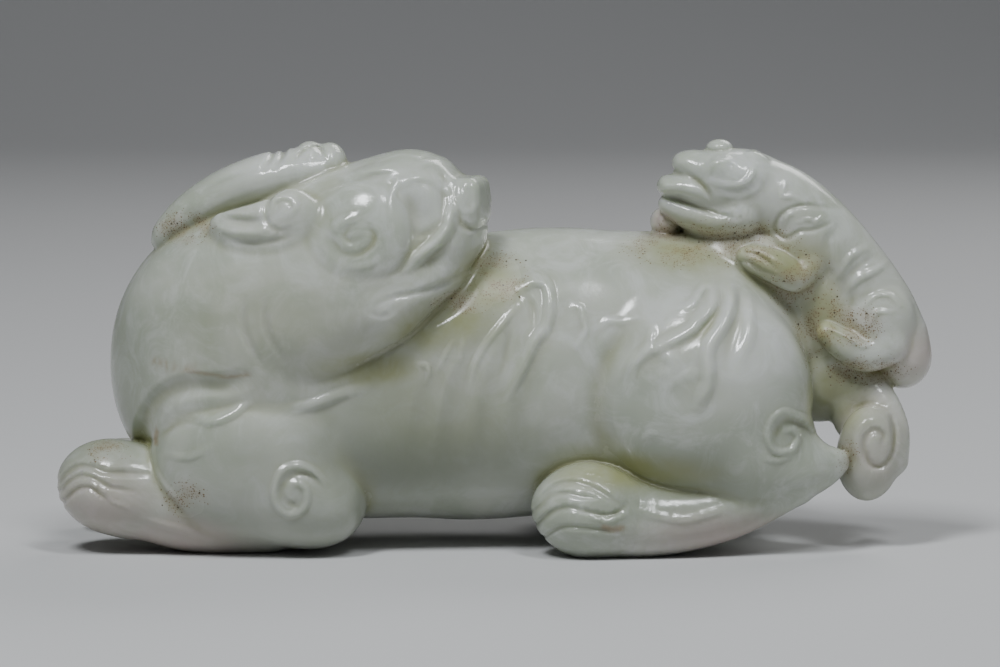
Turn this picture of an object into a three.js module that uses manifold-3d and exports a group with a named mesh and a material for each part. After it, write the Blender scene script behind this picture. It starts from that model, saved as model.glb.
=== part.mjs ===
// A recumbent mythical beast with its cub, carved from one pebble of pale jade.
// Millimetres, +Z up. X runs from the chest to the rump, and the side that the head is turned to faces -Y.
// The origin is the middle of the footprint, on the surface that the feet stand on.

import * as THREE from "three";
import { mergeVertices } from "three/addons/utils/BufferGeometryUtils.js";
import Module from "manifold-3d";

const wasm = await Module();
wasm.setup();

// Driving dimensions.
const LENGTH = 130;
const DEPTH = 49;
const HEIGHT = 61;
const TRUNK_FILLET = 9;
const LIMB_FILLET = 4;
const CREASE = 0.7;
const CUT_WIDTH = 0.9;
const CUT_DEPTH = 0.6;
const HEAD_AT = [-16, -9.5, 44];
const HEAD_TURN = [10, -12, 0];
const CELL = 0.8;
const TRIANGLES = 9600;

// A form is a function of a point that gives its rough distance outside the surface, negative inside.

// Axes of a frame whose X is raised by tilt, swung by yaw (towards +Y) and rolled about itself, in degrees.
function turned([tilt, yaw, roll]) {
  const rad = THREE.MathUtils.degToRad;
  const euler = new THREE.Euler(rad(roll), -rad(tilt), rad(yaw), "ZYX");
  return new THREE.Matrix4().makeRotationFromEuler(euler).elements;
}

// An egg-shaped mass with its three half-sizes.
function mass(at, half, turn = [0, 0, 0]) {
  const m = turned(turn);
  const [a, b, c] = half;
  return (x, y, z) => {
    const dx = x - at[0];
    const dy = y - at[1];
    const dz = z - at[2];
    const u = (m[0] * dx + m[1] * dy + m[2] * dz) / a;
    const v = (m[4] * dx + m[5] * dy + m[6] * dz) / b;
    const w = (m[8] * dx + m[9] * dy + m[10] * dz) / c;
    const k0 = Math.sqrt(u * u + v * v + w * w);
    const k1 = Math.sqrt((u * u) / (a * a) + (v * v) / (b * b) + (w * w) / (c * c));
    return k1 > 1e-9 ? (k0 * (k0 - 1)) / k1 : -Math.min(a, b, c);
  };
}

// A smooth line through stations of any four numbers, as evenly numbered points.
function smoothLine(stations, steps) {
  const vectors = (i, j, k) => stations.map((s) => new THREE.Vector3(s[i], s[j], k === undefined ? 0 : s[k]));
  const path = new THREE.CatmullRomCurve3(vectors(0, 1, 2));
  const rest = new THREE.CatmullRomCurve3(vectors(3, 3));
  const count = (stations.length - 1) * steps;
  return Array.from({ length: count + 1 }, (_, i) => {
    const p = path.getPoint(i / count);
    return [p.x, p.y, p.z, rest.getPoint(i / count).x];
  });
}

// A limb that swells and tapers along a smooth line through stations of [x, y, z, radius].
// Its section is widened in each direction by the stretch.
function limb(stations, stretch = [1, 1, 1]) {
  const squeezed = stations.map(([x, y, z, r]) => [x / stretch[0], y / stretch[1], z / stretch[2], r]);
  const beads = smoothLine(squeezed, 6);
  const ball = new THREE.Sphere().setFromPoints(beads.map((b) => new THREE.Vector3(b[0], b[1], b[2])));
  const reach = ball.radius + Math.max(...beads.map((b) => b[3]));
  const centre = ball.center;
  const scale = Math.min(...stretch);
  return (wx, wy, wz) => {
    const x = wx / stretch[0];
    const y = wy / stretch[1];
    const z = wz / stretch[2];
    const away = Math.hypot(x - centre.x, y - centre.y, z - centre.z) - reach;
    if (away > 6) return away * scale;
    let best = Infinity;
    for (let i = 0; i < beads.length - 1; i++) {
      const [ax, ay, az, ar] = beads[i];
      const [bx, by, bz, br] = beads[i + 1];
      const ex = bx - ax;
      const ey = by - ay;
      const ez = bz - az;
      const along = ((x - ax) * ex + (y - ay) * ey + (z - az) * ez) / (ex * ex + ey * ey + ez * ez);
      const t = Math.min(1, Math.max(0, along));
      const px = x - ax - t * ex;
      const py = y - ay - t * ey;
      const pz = z - az - t * ez;
      best = Math.min(best, Math.sqrt(px * px + py * py + pz * pz) - ar - t * (br - ar));
    }
    return best * scale;
  };
}

// Two distances joined with a fillet of about that width.
function soft(a, b, fillet) {
  const h = Math.max(fillet - Math.abs(a - b), 0) / fillet;
  return Math.min(a, b) - (h * h * fillet) / 4;
}

// Several forms as one, with fillets where they meet.
function joined(fillet, ...forms) {
  return (x, y, z) => forms.reduce((d, form) => soft(d, form(x, y, z), fillet), 1e3);
}

// A form seen in a turned frame at a place.
function placed(form, at, turn) {
  const m = turned(turn);
  return (x, y, z) => {
    const dx = x - at[0];
    const dy = y - at[1];
    const dz = z - at[2];
    return form(
      m[0] * dx + m[1] * dy + m[2] * dz,
      m[4] * dx + m[5] * dy + m[6] * dz,
      m[8] * dx + m[9] * dy + m[10] * dz,
    );
  };
}

// The same form on both sides of the plane y = 0.
function bothSides(form) {
  return (x, y, z) => form(x, -Math.abs(y), z);
}

// Grooves cut into the side of a form. Seen from the side, each is a smooth line of [x, z, half-width, depth].
// A negative depth raises a ridge instead.
function grooved(form, lines) {
  const paths = lines.map((stations) => {
    const line = smoothLine(stations, 6);
    const reach = Math.max(...line.map((p) => p[2]));
    const corners = line.map((p) => new THREE.Vector2(p[0], p[1]));
    const box = new THREE.Box2().setFromPoints(corners).expandByScalar(reach);
    return { line, box };
  });
  return (x, y, z) => {
    let d = form(x, y, z);
    if (Math.abs(d) > 4) return d;
    for (const { line, box } of paths) {
      if (x < box.min.x || x > box.max.x || z < box.min.y || z > box.max.y) continue;
      let nearest = 1;
      let depth = 0;
      for (let i = 0; i < line.length - 1; i++) {
        const [ax, az, aw, ad] = line[i];
        const [bx, bz, bw, bd] = line[i + 1];
        const ex = bx - ax;
        const ez = bz - az;
        const t = Math.min(1, Math.max(0, ((x - ax) * ex + (z - az) * ez) / (ex * ex + ez * ez)));
        const off = Math.hypot(x - ax - t * ex, z - az - t * ez) / (aw + t * (bw - aw));
        if (off < nearest) {
          nearest = off;
          depth = ad + t * (bd - ad);
        }
      }
      d += depth * (1 - nearest * nearest) ** 2;
    }
    return d;
  };
}

// Grooves cut into the near side of a form alone.
function nearOnly(form, lines) {
  const carved = grooved(form, lines);
  return (x, y, z) => (y < 0 ? carved(x, y, z) : form(x, y, z));
}

// Stations of a cut through a list of points, which runs out at both ends.
const cut = (width, depth, ...points) =>
  points.map(([x, z], i) => [x, z, width, i === 0 || i === points.length - 1 ? 0.3 * depth : depth]);

// Trunk: barrel, belly, chest and rump run into one another.
const trunk = joined(
  TRUNK_FILLET,
  mass([9, 0.5, 25.8], [38, 19, 21.2]),
  mass([-10, 0, 19.8], [24, 16, 15.4]),
  mass([-38, -1, 28.4], [19.6, 18.5, 19.7]),
  mass([-41.6, -3, 20.2], [11, 14, 9.4]),
  mass([30.5, 0.5, 25.5], [15, 17.5, 18.5]),
  mass([-24, -7, 18.6], [15, 11.2, 13], [16, 0, 0]),
  mass([-32.5, -7.4, 37.6], [17.2, 14.4, 14.2], [26, -8, 0]),
  mass([-9, -6, 33], [11, 9, 8.4], [24, 0, 0]),
);
const ribbed = grooved(trunk, [
  cut(2.2, 0.5, [-6, 32.6], [-9.6, 26], [-10.8, 20], [-11, 14]),
  cut(2.4, 0.6, [0, 34], [-4.6, 27], [-6.2, 20], [-6.6, 12]),
  cut(2.4, 0.6, [5, 36], [0.4, 27], [-1.2, 20], [-1.6, 11]),
  cut(2.4, 0.5, [10, 37], [5.6, 28], [4, 20], [3.6, 14]),
  cut(1.3, -0.6, [3.8, 39.3], [5.5, 40.3], [7.5, 40], [8.1, 37.4], [7.5, 33.9], [5.7, 31.7], [3.8, 27.6]),
  cut(1.2, -0.5, [3.1, 36.7], [0.8, 34.1], [-1.9, 30.7], [-3.3, 27.9], [-4, 24.6]),
  cut(1.4, -0.5, [-30.4, 21.9], [-27.4, 22.5], [-23.6, 23.9], [-19.3, 25.2]),
]);

// The neck swings round to the near side and overlaps the trunk along a crease.
const neck = joined(
  6,
  mass([-31, -7.8, 38], [17.5, 14.6, 14.2], [26, -8, 0]),
  mass([-25.6, -10.8, 34.4], [15, 11.8, 9.6], [31, -6, 0]),
);

// The turned head is built upright on its own centre plane, looking along its own X.
const skull = joined(
  3,
  mass([-4.6, 0, 1.8], [13.5, 12.2, 12.2]),
  mass([4.1, 0, 8], [8.7, 9.4, 6.8]),
  mass([2.4, 0, -2.6], [12, 11.2, 6], [46, 0, 0]),
  mass([10, 0, 2.8], [5.3, 8, 5.2]),
  limb([[11.4, 0, -0.4, 2.3], [9, 0, -4, 3], [2, 0, -8, 3.6]], [1, 3, 1]),
);
const nose = joined(
  1.2,
  limb([
    [13.4, -2.9, 6.8, 2.5],
    [13.4, 0, 6.8, 2.6],
    [13.4, 2.9, 6.8, 2.5],
  ]),
  limb([
    [12.9, -3.4, 3.4, 2.7],
    [13.1, 0, 3.4, 2.8],
    [12.9, 3.4, 3.4, 2.7],
  ]),
  limb([
    [14.9, -3.2, 8.2, 1.2],
    [15, 0, 8.3, 1.2],
    [14.9, 3.2, 8.2, 1.2],
  ]),
  limb([
    [12.4, -3.2, 8.6, 1.2],
    [12.4, 0, 8.7, 1.2],
    [12.4, 3.2, 8.6, 1.2],
  ]),
);
const eye = bothSides(mass([8.2, -6.2, 6.8], [2.6, 1.9, 2.6]));
const face = grooved(joined(1.2, skull, nose, eye), [
  cut(1.2, -0.6, [-2.6, 12], [1, 12.7], [3.5, 12.7], [5.6, 12.4]),
  cut(1, -0.5, [5.8, 10], [7.3, 10.6], [9.3, 10.4], [10.9, 9.3], [11.9, 7.6], [12, 6]),
  cut(1, -0.6, [5.6, 10.8], [4.8, 8.9], [4.6, 7], [4.9, 5.1]),
  cut(1, 0.5, [15.6, 0], [14, -2.4], [11.6, -4.4], [8.8, -5.4], [5.6, -5.8], [2.7, -5.9], [0, -6.7]),
  cut(1.5, -0.8, [12.2, 6], [12.2, 4.3], [11.8, 2.9], [10.4, 1.3], [8, -0.2], [5.4, -1.8]),
  cut(1.2, 0.5, [-7.8, 6.4], [-8, 3.3], [-6.5, 0.4], [-3.6, -1.7], [-0.3, -2.6], [3.2, -2.3], [5.4, -0.8],
    [6.2, 1.4]),
]);
const cheek = grooved(mass([-0.9, -10.5, 4], [7.2, 3.1, 7.2], [0, 0, -12]), [
  cut(1.1, 0.5, [-4.4, 4.2], [-3.7, 2.4], [-1.6, 1.2], [0.6, 1.7], [1.8, 3.2], [1.3, 4.8]),
  cut(1.3, -0.5, [-0.6, 6.4], [-2, 6.4], [-3.4, 5.8], [-4.5, 4.6]),
]);
const ear = grooved(
  joined(
    1,
    mass([-10.2, -10.8, 7.8], [3.6, 3.4, 4.3]),
    limb(
      [
        [-9, -11, 7, 3.6],
        [-12.6, -11.6, 6.5, 4.7],
        [-17, -11.4, 6.5, 4.2],
        [-20.8, -10.1, 7.8, 2.5],
        [-22.3, -9.5, 8.8, 1],
      ],
      [1, 0.65, 1],
    ),
  ),
  [
    cut(1.4, 0.8, [-20.8, 9.3], [-18.4, 8.8], [-16, 8.4], [-13.9, 8.2]),
    cut(1.1, 0.4, [-20.6, 7], [-18, 5.8], [-15, 5.2], [-12, 5.2], [-9.6, 5.8]),
    cut(1, 0.4, [-12.8, 11.2], [-13.6, 9.6], [-13.2, 7.6], [-11.6, 6.4], [-9.4, 6.6]),
  ],
);
const throat = joined(
  2,
  joined(6, neck, placed(bothSides(face), HEAD_AT, HEAD_TURN)),
  placed(bothSides(cheek), HEAD_AT, HEAD_TURN),
);
const ears = placed(bothSides(ear), HEAD_AT, HEAD_TURN);

// One horn lies back along the neck, with a two-lobed knob at its root.
const hornBlade = limb(
  [
    [-26, -7.5, 56.2, 3.2],
    [-29.3, -7.5, 55.8, 3.7],
    [-33.8, -7.2, 54.8, 3.9],
    [-38.3, -6.8, 53.3, 3.7],
    [-42.8, -6.2, 51.1, 3.4],
    [-46.3, -5.6, 48.9, 2.8],
    [-49, -5.2, 46.7, 2],
    [-50.1, -5, 45.4, 1.1],
  ],
  [1, 1.5, 1],
);
const knob = joined(1, mass([-27.4, -7.5, 57.5], [2.6, 4, 3]), mass([-24.5, -7.5, 57], [2.6, 4, 3.3]));
const horn = grooved(joined(0.4, hornBlade, knob), [
  cut(0.8, 0.5, [-30.9, 61], [-31.4, 58.6], [-32.4, 57]),
  cut(0.8, 0.4, [-32.4, 60.4], [-33, 58.2], [-34, 56.8]),
]);

// Legs of one side. The far ones are plainer and set a little further in, so that the near ones cover them.
const foreleg = joined(
  LIMB_FILLET,
  mass([-37, -13.6, 13.4], [13.8, 10, 12.4]),
  mass([-27, -8.5, 17.5], [12, 11.5, 12.4], [12, 0, 0]),
  mass([-28.6, -14.6, 8], [6.8, 8, 6.8]),
  mass([-24.8, -14.6, 7], [5.2, 6.6, 5], [-18, 0, 0]),
);
const forearm = joined(
  2,
  limb([
    [-34, -12.6, 6.4, 6.6],
    [-44, -12.4, 6.4, 6.6],
    [-52, -12, 8.6, 6.8],
  ]),
  mass([-56.3, -11.8, 9.5], [8.7, 7.6, 7.1], [-12, 0, 0]),
);
const haunch = joined(
  LIMB_FILLET,
  mass([30.4, -12.5, 23.2], [16.4, 11.5, 16.2]),
  limb([
    [38, -13.5, 13.2, 7.4],
    [43.6, -14, 12.9, 5.5],
    [47.8, -13.6, 12.9, 3.4],
    [50, -13, 13.3, 2.2],
  ]),
);
const foot = joined(
  2,
  mass([13.5, -16.6, 7], [8.3, 7, 6.6]),
  limb([
    [14, -16.8, 6.3, 6.6],
    [24, -16.8, 5.3, 5.3],
    [34, -15.8, 6.6, 4.4],
    [44, -14.5, 10, 3],
  ]),
);
const haunchCarved = grooved(haunch, [
  cut(1.2, -0.6, [27.1, 36.8], [28.5, 37.3], [29.6, 38.6], [30.8, 39.8], [32, 40]),
  cut(1.2, -0.6, [32, 39.9], [31.6, 37.3], [29.2, 34.9], [25.5, 32.4], [21.8, 30.5], [19.9, 28.7], [19.3, 26.4]),
  cut(1.3, -0.8, [34.1, 39.9], [34.5, 38.1], [32.6, 34], [30.8, 30.2], [30.8, 26.4], [29.4, 23.1]),
  cut(1.8, 0.5, [36, 38.8], [35.6, 35.6], [34.4, 32], [33.6, 28.6]),
  cut(1.2, -0.5, [23.8, 30.8], [25.2, 30], [26.5, 28.9]),
  cut(1, -0.5, [30.8, 27.9], [28.5, 27.7], [26.6, 26.9], [25.1, 26.2], [24, 25]),
  cut(1, -0.5, [47.2, 18.4], [45.4, 20.3], [42, 21.8], [39.8, 19.4], [40.5, 16.4], [43.6, 16.3], [44.3, 17.8],
    [42.3, 18.9]),
]);
const nearLegs = joined(
  0.6,
  grooved(foreleg, [
    cut(1, -0.5, [-24.6, 11.2], [-27.6, 13.8], [-30.8, 13.6], [-32.3, 10.2], [-30.3, 6.9], [-27.5, 8.8],
      [-28.6, 11.5]),
    cut(1.3, -0.6, [-34.6, 25.2], [-36.4, 23.2], [-38.8, 21.5], [-41.5, 20.5], [-43.4, 20.8]),
    cut(1.4, 0.5, [-37.4, 24.6], [-40, 23.2], [-43, 22.6], [-45.6, 21.8]),
  ]),
  grooved(forearm, [
    cut(CUT_WIDTH, CUT_DEPTH, [-65, 10], [-63.4, 12.2], [-61, 13.2], [-58.5, 13.2], [-54.7, 12.6], [-50, 12.4]),
    cut(CUT_WIDTH, CUT_DEPTH, [-65, 8], [-63, 10.8], [-61, 11.7], [-58.8, 11.5], [-57, 10.4], [-55.5, 9.2]),
    cut(CUT_WIDTH, CUT_DEPTH, [-64.4, 6.4], [-62.5, 9.2], [-60.7, 9.8], [-58.8, 9.8], [-57, 8.8], [-54.7, 7.8]),
  ]),
  grooved(foot, [
    cut(CUT_WIDTH, CUT_DEPTH, [5.6, 8.4], [7.5, 10.4], [9.5, 11.6], [11.4, 11.8], [13.5, 11.2], [18.4, 8.6]),
    cut(0.8, 0.5, [5, 6.8], [7, 8.6], [9.4, 9.6], [12, 9.6], [14.5, 9]),
    cut(CUT_WIDTH, CUT_DEPTH, [5.4, 4.4], [7.5, 6.4], [9.4, 7.5], [12.8, 7.6], [15.8, 7.2], [18.8, 8.2]),
    cut(0.8, 0.5, [6.4, 2.6], [8.4, 4.2], [11, 5.2], [14.4, 5], [17.4, 4.6]),
  ]),
);
const farFoot = joined(
  2,
  mass([16, 15.5, 6], [8, 7, 6.6]),
  limb([
    [17, 15.5, 6, 6.2],
    [30, 15, 5.2, 5],
    [40, 13, 8, 3],
  ]),
);
const farHaunch = joined(5, mass([30, 12.5, 22.6], [14.6, 11.5, 16]), mass([38, 12.5, 11], [6.6, 6, 5.6]));
const farPaw = mass([-56.4, 9.6, 7.4], [8, 8, 6.6], [-6, 0, 0]);
const farForeleg = joined(
  3,
  mass([-37.6, 13, 13.6], [12.6, 10, 12]),
  limb([
    [-28, 13.5, 6.2, 6.7],
    [-42, 13, 6, 6.6],
    [-52, 11.5, 7.2, 6.4],
  ]),
);
const farLegs = joined(0.8, farFoot, farPaw, farForeleg);

// Tail: a root from the rump, rolled into a solid scroll that touches the hock and leaves a small eyelet.
const tail = grooved(
  joined(
    1.4,
    mass([48.4, -2, 24.4], [6.8, 5.6, 6.4]),
    mass([53.1, -4.6, 20.2], [3, 3, 4.8]),
    limb([
      [50, -1, 27, 5.4],
      [56.2, -5.5, 22.6, 3],
      [59.2, -8, 17.5, 2.3],
      [59.4, -8.4, 13, 2],
    ]),
    mass([55.4, -8.6, 13.8], [4.8, 4.4, 6.8], [-4, 0, 0]),
    mass([55.4, -10.2, 17], [3.8, 3, 4.2]),
  ),
  [
    cut(1, 0.6, [58.6, 19.6], [59, 17.4], [58.6, 14.6], [57.3, 12.8], [55.6, 12.9], [54.5, 14.9], [54.7, 17.1],
      [56, 18.1], [57.2, 17.3], [57, 15.9]),
  ],
);

// Cub: it climbs over the rump, and stone is left between the two.
const saddle = limb([
  [31, -1.4, 43.6, 3.6],
  [37, -2, 43.2, 6],
  [46, -1, 39.8, 7.2],
  [51, -1, 33, 7.6],
  [52.6, -1, 27.5, 6],
]);
const cubHead = grooved(
  joined(
    0.8,
    mass([35.6, -3, 54], [8.2, 6.2, 5]),
    limb(
      [
        [30, -3, 56.2, 2.6],
        [33.6, -3, 55.7, 3.4],
        [37.4, -3, 55, 3.7],
      ],
      [1, 1.7, 1],
    ),
    mass([28.6, -3, 57], [2.4, 3.6, 1.8]),
    limb(
      [
        [25.6, -3, 53.6, 1.6],
        [27.6, -3, 53.6, 1.9],
        [30, -3, 53.1, 2.2],
        [33, -3, 51.8, 2],
      ],
      [1, 2.4, 1],
    ),
    limb(
      [
        [25.9, -3, 50.8, 1.7],
        [29, -3, 49.6, 2.6],
        [32.5, -3, 48.8, 3.2],
        [36.5, -3, 49.6, 4],
      ],
      [1, 1.6, 1],
    ),
    mass([33.3, -8.2, 56.6], [1.2, 0.7, 1]),
    mass([33.3, 2.2, 56.6], [1.2, 0.7, 1]),
    mass([38.8, -5.6, 57.7], [1.6, 1, 0.9], [-24, 0, 0]),
    mass([38.8, -0.4, 57.7], [1.6, 1, 0.9], [-24, 0, 0]),
  ),
  [
    cut(0.9, 0.6, [24, 52.2], [27, 51.5], [30.8, 50.3], [33.4, 49.6], [36, 49.2]),
    cut(1, 0.5, [28.6, 55.4], [30, 54.5], [31.3, 53.2], [32, 51.8]),
  ],
);
const button = mass([33.3, -3, 59.2], [2, 2.2, 1.3]);
const cubBody = joined(
  1,
  limb([
    [37, -3, 52.8, 5.8],
    [42.6, -3, 50.8, 5.8],
    [48, -3, 46.4, 5.8],
    [52.8, -3, 41.3, 5.5],
    [56.6, -3, 35.8, 5.6],
    [59.4, -3, 31, 5.2],
  ]),
  mass([60.8, -3, 28.1], [4.4, 5.4, 4.9]),
);
const cubLegs = joined(
  1.2,
  mass([45.8, -5.4, 45], [5.2, 3.6, 6.4], [8, 0, 0]),
  limb([
    [46.4, -7.4, 41.6, 2.2],
    [44.6, -8.6, 40.4, 2.2],
    [41.6, -9, 41.8, 2.4],
    [38.8, -9, 43.1, 2.2],
    [37, -8.8, 43.6, 1.3],
  ]),
  mass([57, -6, 33.6], [5.4, 4, 5.8]),
  limb([
    [58.6, -7.4, 30, 2.8],
    [55, -8.4, 28.9, 2.6],
    [51.7, -8.8, 30.2, 2.3],
    [49.2, -8.8, 32, 1.7],
  ]),
  mass([25.4, 0, 48], [2.3, 3, 2.2]),
);
const cub = joined(0.2, joined(0.6, cubHead, cubBody, cubLegs), button);

// The haunches swell out of the trunk, and the head and the shoulder lie over it along sunk edges.
const loins = joined(2.5, ribbed, haunchCarved, farHaunch);
const flank = nearOnly(loins, [
  cut(2.4, 0.5, [-3, 41.4], [-6.2, 37.6], [-10.8, 34.8], [-16.2, 31.8], [-22.6, 28.8], [-29, 26.4]),
  cut(2.2, 0.8, [-36.8, 26.6], [-40, 25.8], [-44, 25.6], [-47.4, 24.6], [-49.8, 22.6], [-51.4, 19.4], [-52, 16],
    [-51.4, 12.8], [-49.8, 10.4]),
  cut(2.4, 0.6, [19.8, 33.6], [17.6, 30.9], [15.7, 27.1], [15, 23.3], [15.1, 19.9], [16.1, 16.6], [18.4, 14.2]),
]);
const body = joined(CREASE, flank, throat);
const beast = joined(CREASE, joined(2, body, saddle), ears, horn, nearLegs, farLegs, tail, cub);

// A form's values at the corners of a grid. Blocks of corners that lie far from the surface share one value.
function sampled(form, low, count, cell) {
  const BLOCK = 5;
  const value = new Float32Array(count[0] * count[1] * count[2]);
  const sample = (i, j, k) => form(low[0] + i * cell, low[1] + j * cell, low[2] + k * cell);
  const starts = count.map((n) => Array.from({ length: Math.ceil(n / BLOCK) }, (_, i) => i * BLOCK));
  const blocks = starts[2].flatMap((k) => starts[1].flatMap((j) => starts[0].map((i) => [i, j, k])));
  const middle = (BLOCK - 1) / 2;
  for (const [i0, j0, k0] of blocks) {
    const shared = sample(i0 + middle, j0 + middle, k0 + middle);
    const far = Math.abs(shared) > 1.6 * BLOCK * cell;
    for (let k = k0; k < Math.min(k0 + BLOCK, count[2]); k++) {
      for (let j = j0; j < Math.min(j0 + BLOCK, count[1]); j++) {
        for (let i = i0; i < Math.min(i0 + BLOCK, count[0]); i++) {
          value[(k * count[1] + j) * count[0] + i] = far ? shared : sample(i, j, k) || 1e-6;
        }
      }
    }
  }
  return value;
}

// Skins a form. Every cell of a grid is split into six tetrahedra along one diagonal, some crossed by the surface.
// A cell's corners are numbered by three bits, one for each axis.
const TETRAHEDRA = [[0, 1, 3, 7], [0, 5, 1, 7], [0, 3, 2, 7], [0, 2, 6, 7], [0, 4, 5, 7], [0, 6, 4, 7]];
const ONE_IN = [[0, 1, 2, 3], [1, 0, 3, 2], [2, 0, 1, 3], [3, 0, 2, 1]];
const TWO_IN = [[0, 1, 2, 3], [0, 2, 3, 1], [0, 3, 1, 2], [1, 2, 0, 3], [1, 3, 2, 0], [2, 3, 0, 1]];

function skin(form, low, high, cell) {
  const count = low.map((l, i) => Math.ceil((high[i] - l) / cell) + 1);
  const value = sampled(form, low, count, cell);
  const indexOf = ([i, j, k]) => (k * count[1] + j) * count[0] + i;
  const points = [];
  const faces = [];
  const made = new Map();

  // The vertex where the surface crosses the edge between two corners of a cell.
  const crossing = (origin, c, d) => {
    const from = Math.min(c, d);
    const to = Math.max(c, d);
    const p = [origin[0] + (from & 1), origin[1] + ((from >> 1) & 1), origin[2] + (from >> 2)];
    const key = indexOf(p) * 8 + (to ^ from);
    if (made.has(key)) return made.get(key);
    const q = [origin[0] + (to & 1), origin[1] + ((to >> 1) & 1), origin[2] + (to >> 2)];
    const a = value[indexOf(p)];
    const b = value[indexOf(q)];
    const t = Math.min(0.98, Math.max(0.02, a / (a - b)));
    made.set(key, points.length / 3);
    points.push(...low.map((l, axis) => l + (p[axis] + t * (q[axis] - p[axis])) * cell));
    return made.get(key);
  };

  const cross = (origin, within) => {
    for (const tet of TETRAHEDRA) {
      const sides = tet.map((c) => within[c]);
      const inside = sides.filter(Boolean).length;
      if (inside === 1 || inside === 3) {
        const [a, b, c, d] = ONE_IN[sides.indexOf(inside === 1)].map((v) => tet[v]);
        const face = [crossing(origin, a, b), crossing(origin, a, c), crossing(origin, a, d)];
        faces.push(...(inside === 1 ? face : face.reverse()));
      } else if (inside === 2) {
        const [a, b, c, d] = TWO_IN.find(([p, q]) => sides[p] && sides[q]).map((v) => tet[v]);
        const w = crossing(origin, a, c);
        const x = crossing(origin, a, d);
        const y = crossing(origin, b, d);
        const z = crossing(origin, b, c);
        faces.push(w, x, y, w, y, z);
      }
    }
  };

  const offsets = [0, 1, 2, 3, 4, 5, 6, 7].map((c) => indexOf([c & 1, (c >> 1) & 1, c >> 2]));
  for (let k = 0; k < count[2] - 1; k++) {
    for (let j = 0; j < count[1] - 1; j++) {
      for (let i = 0; i < count[0] - 1; i++) {
        const base = indexOf([i, j, k]);
        const within = offsets.map((offset) => value[base + offset] < 0);
        if (within.includes(true) && within.includes(false)) cross([i, j, k], within);
      }
    }
  }
  return { points, faces };
}

// A queue that gives back its cheapest entry first.
class Queue {
  entries = [];

  add(entry) {
    const list = this.entries;
    let i = list.push(entry) - 1;
    while (i > 0 && list[(i - 1) >> 1].cost > entry.cost) {
      list[i] = list[(i - 1) >> 1];
      i = (i - 1) >> 1;
    }
    list[i] = entry;
  }

  take() {
    const list = this.entries;
    const first = list[0];
    const last = list.pop();
    if (list.length === 0) return first;
    let i = 0;
    for (;;) {
      let child = 2 * i + 1;
      if (child + 1 < list.length && list[child + 1].cost < list[child].cost) child++;
      if (child >= list.length || list[child].cost >= last.cost) break;
      list[i] = list[child];
      i = child;
    }
    list[i] = last;
    return first;
  }
}

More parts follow.
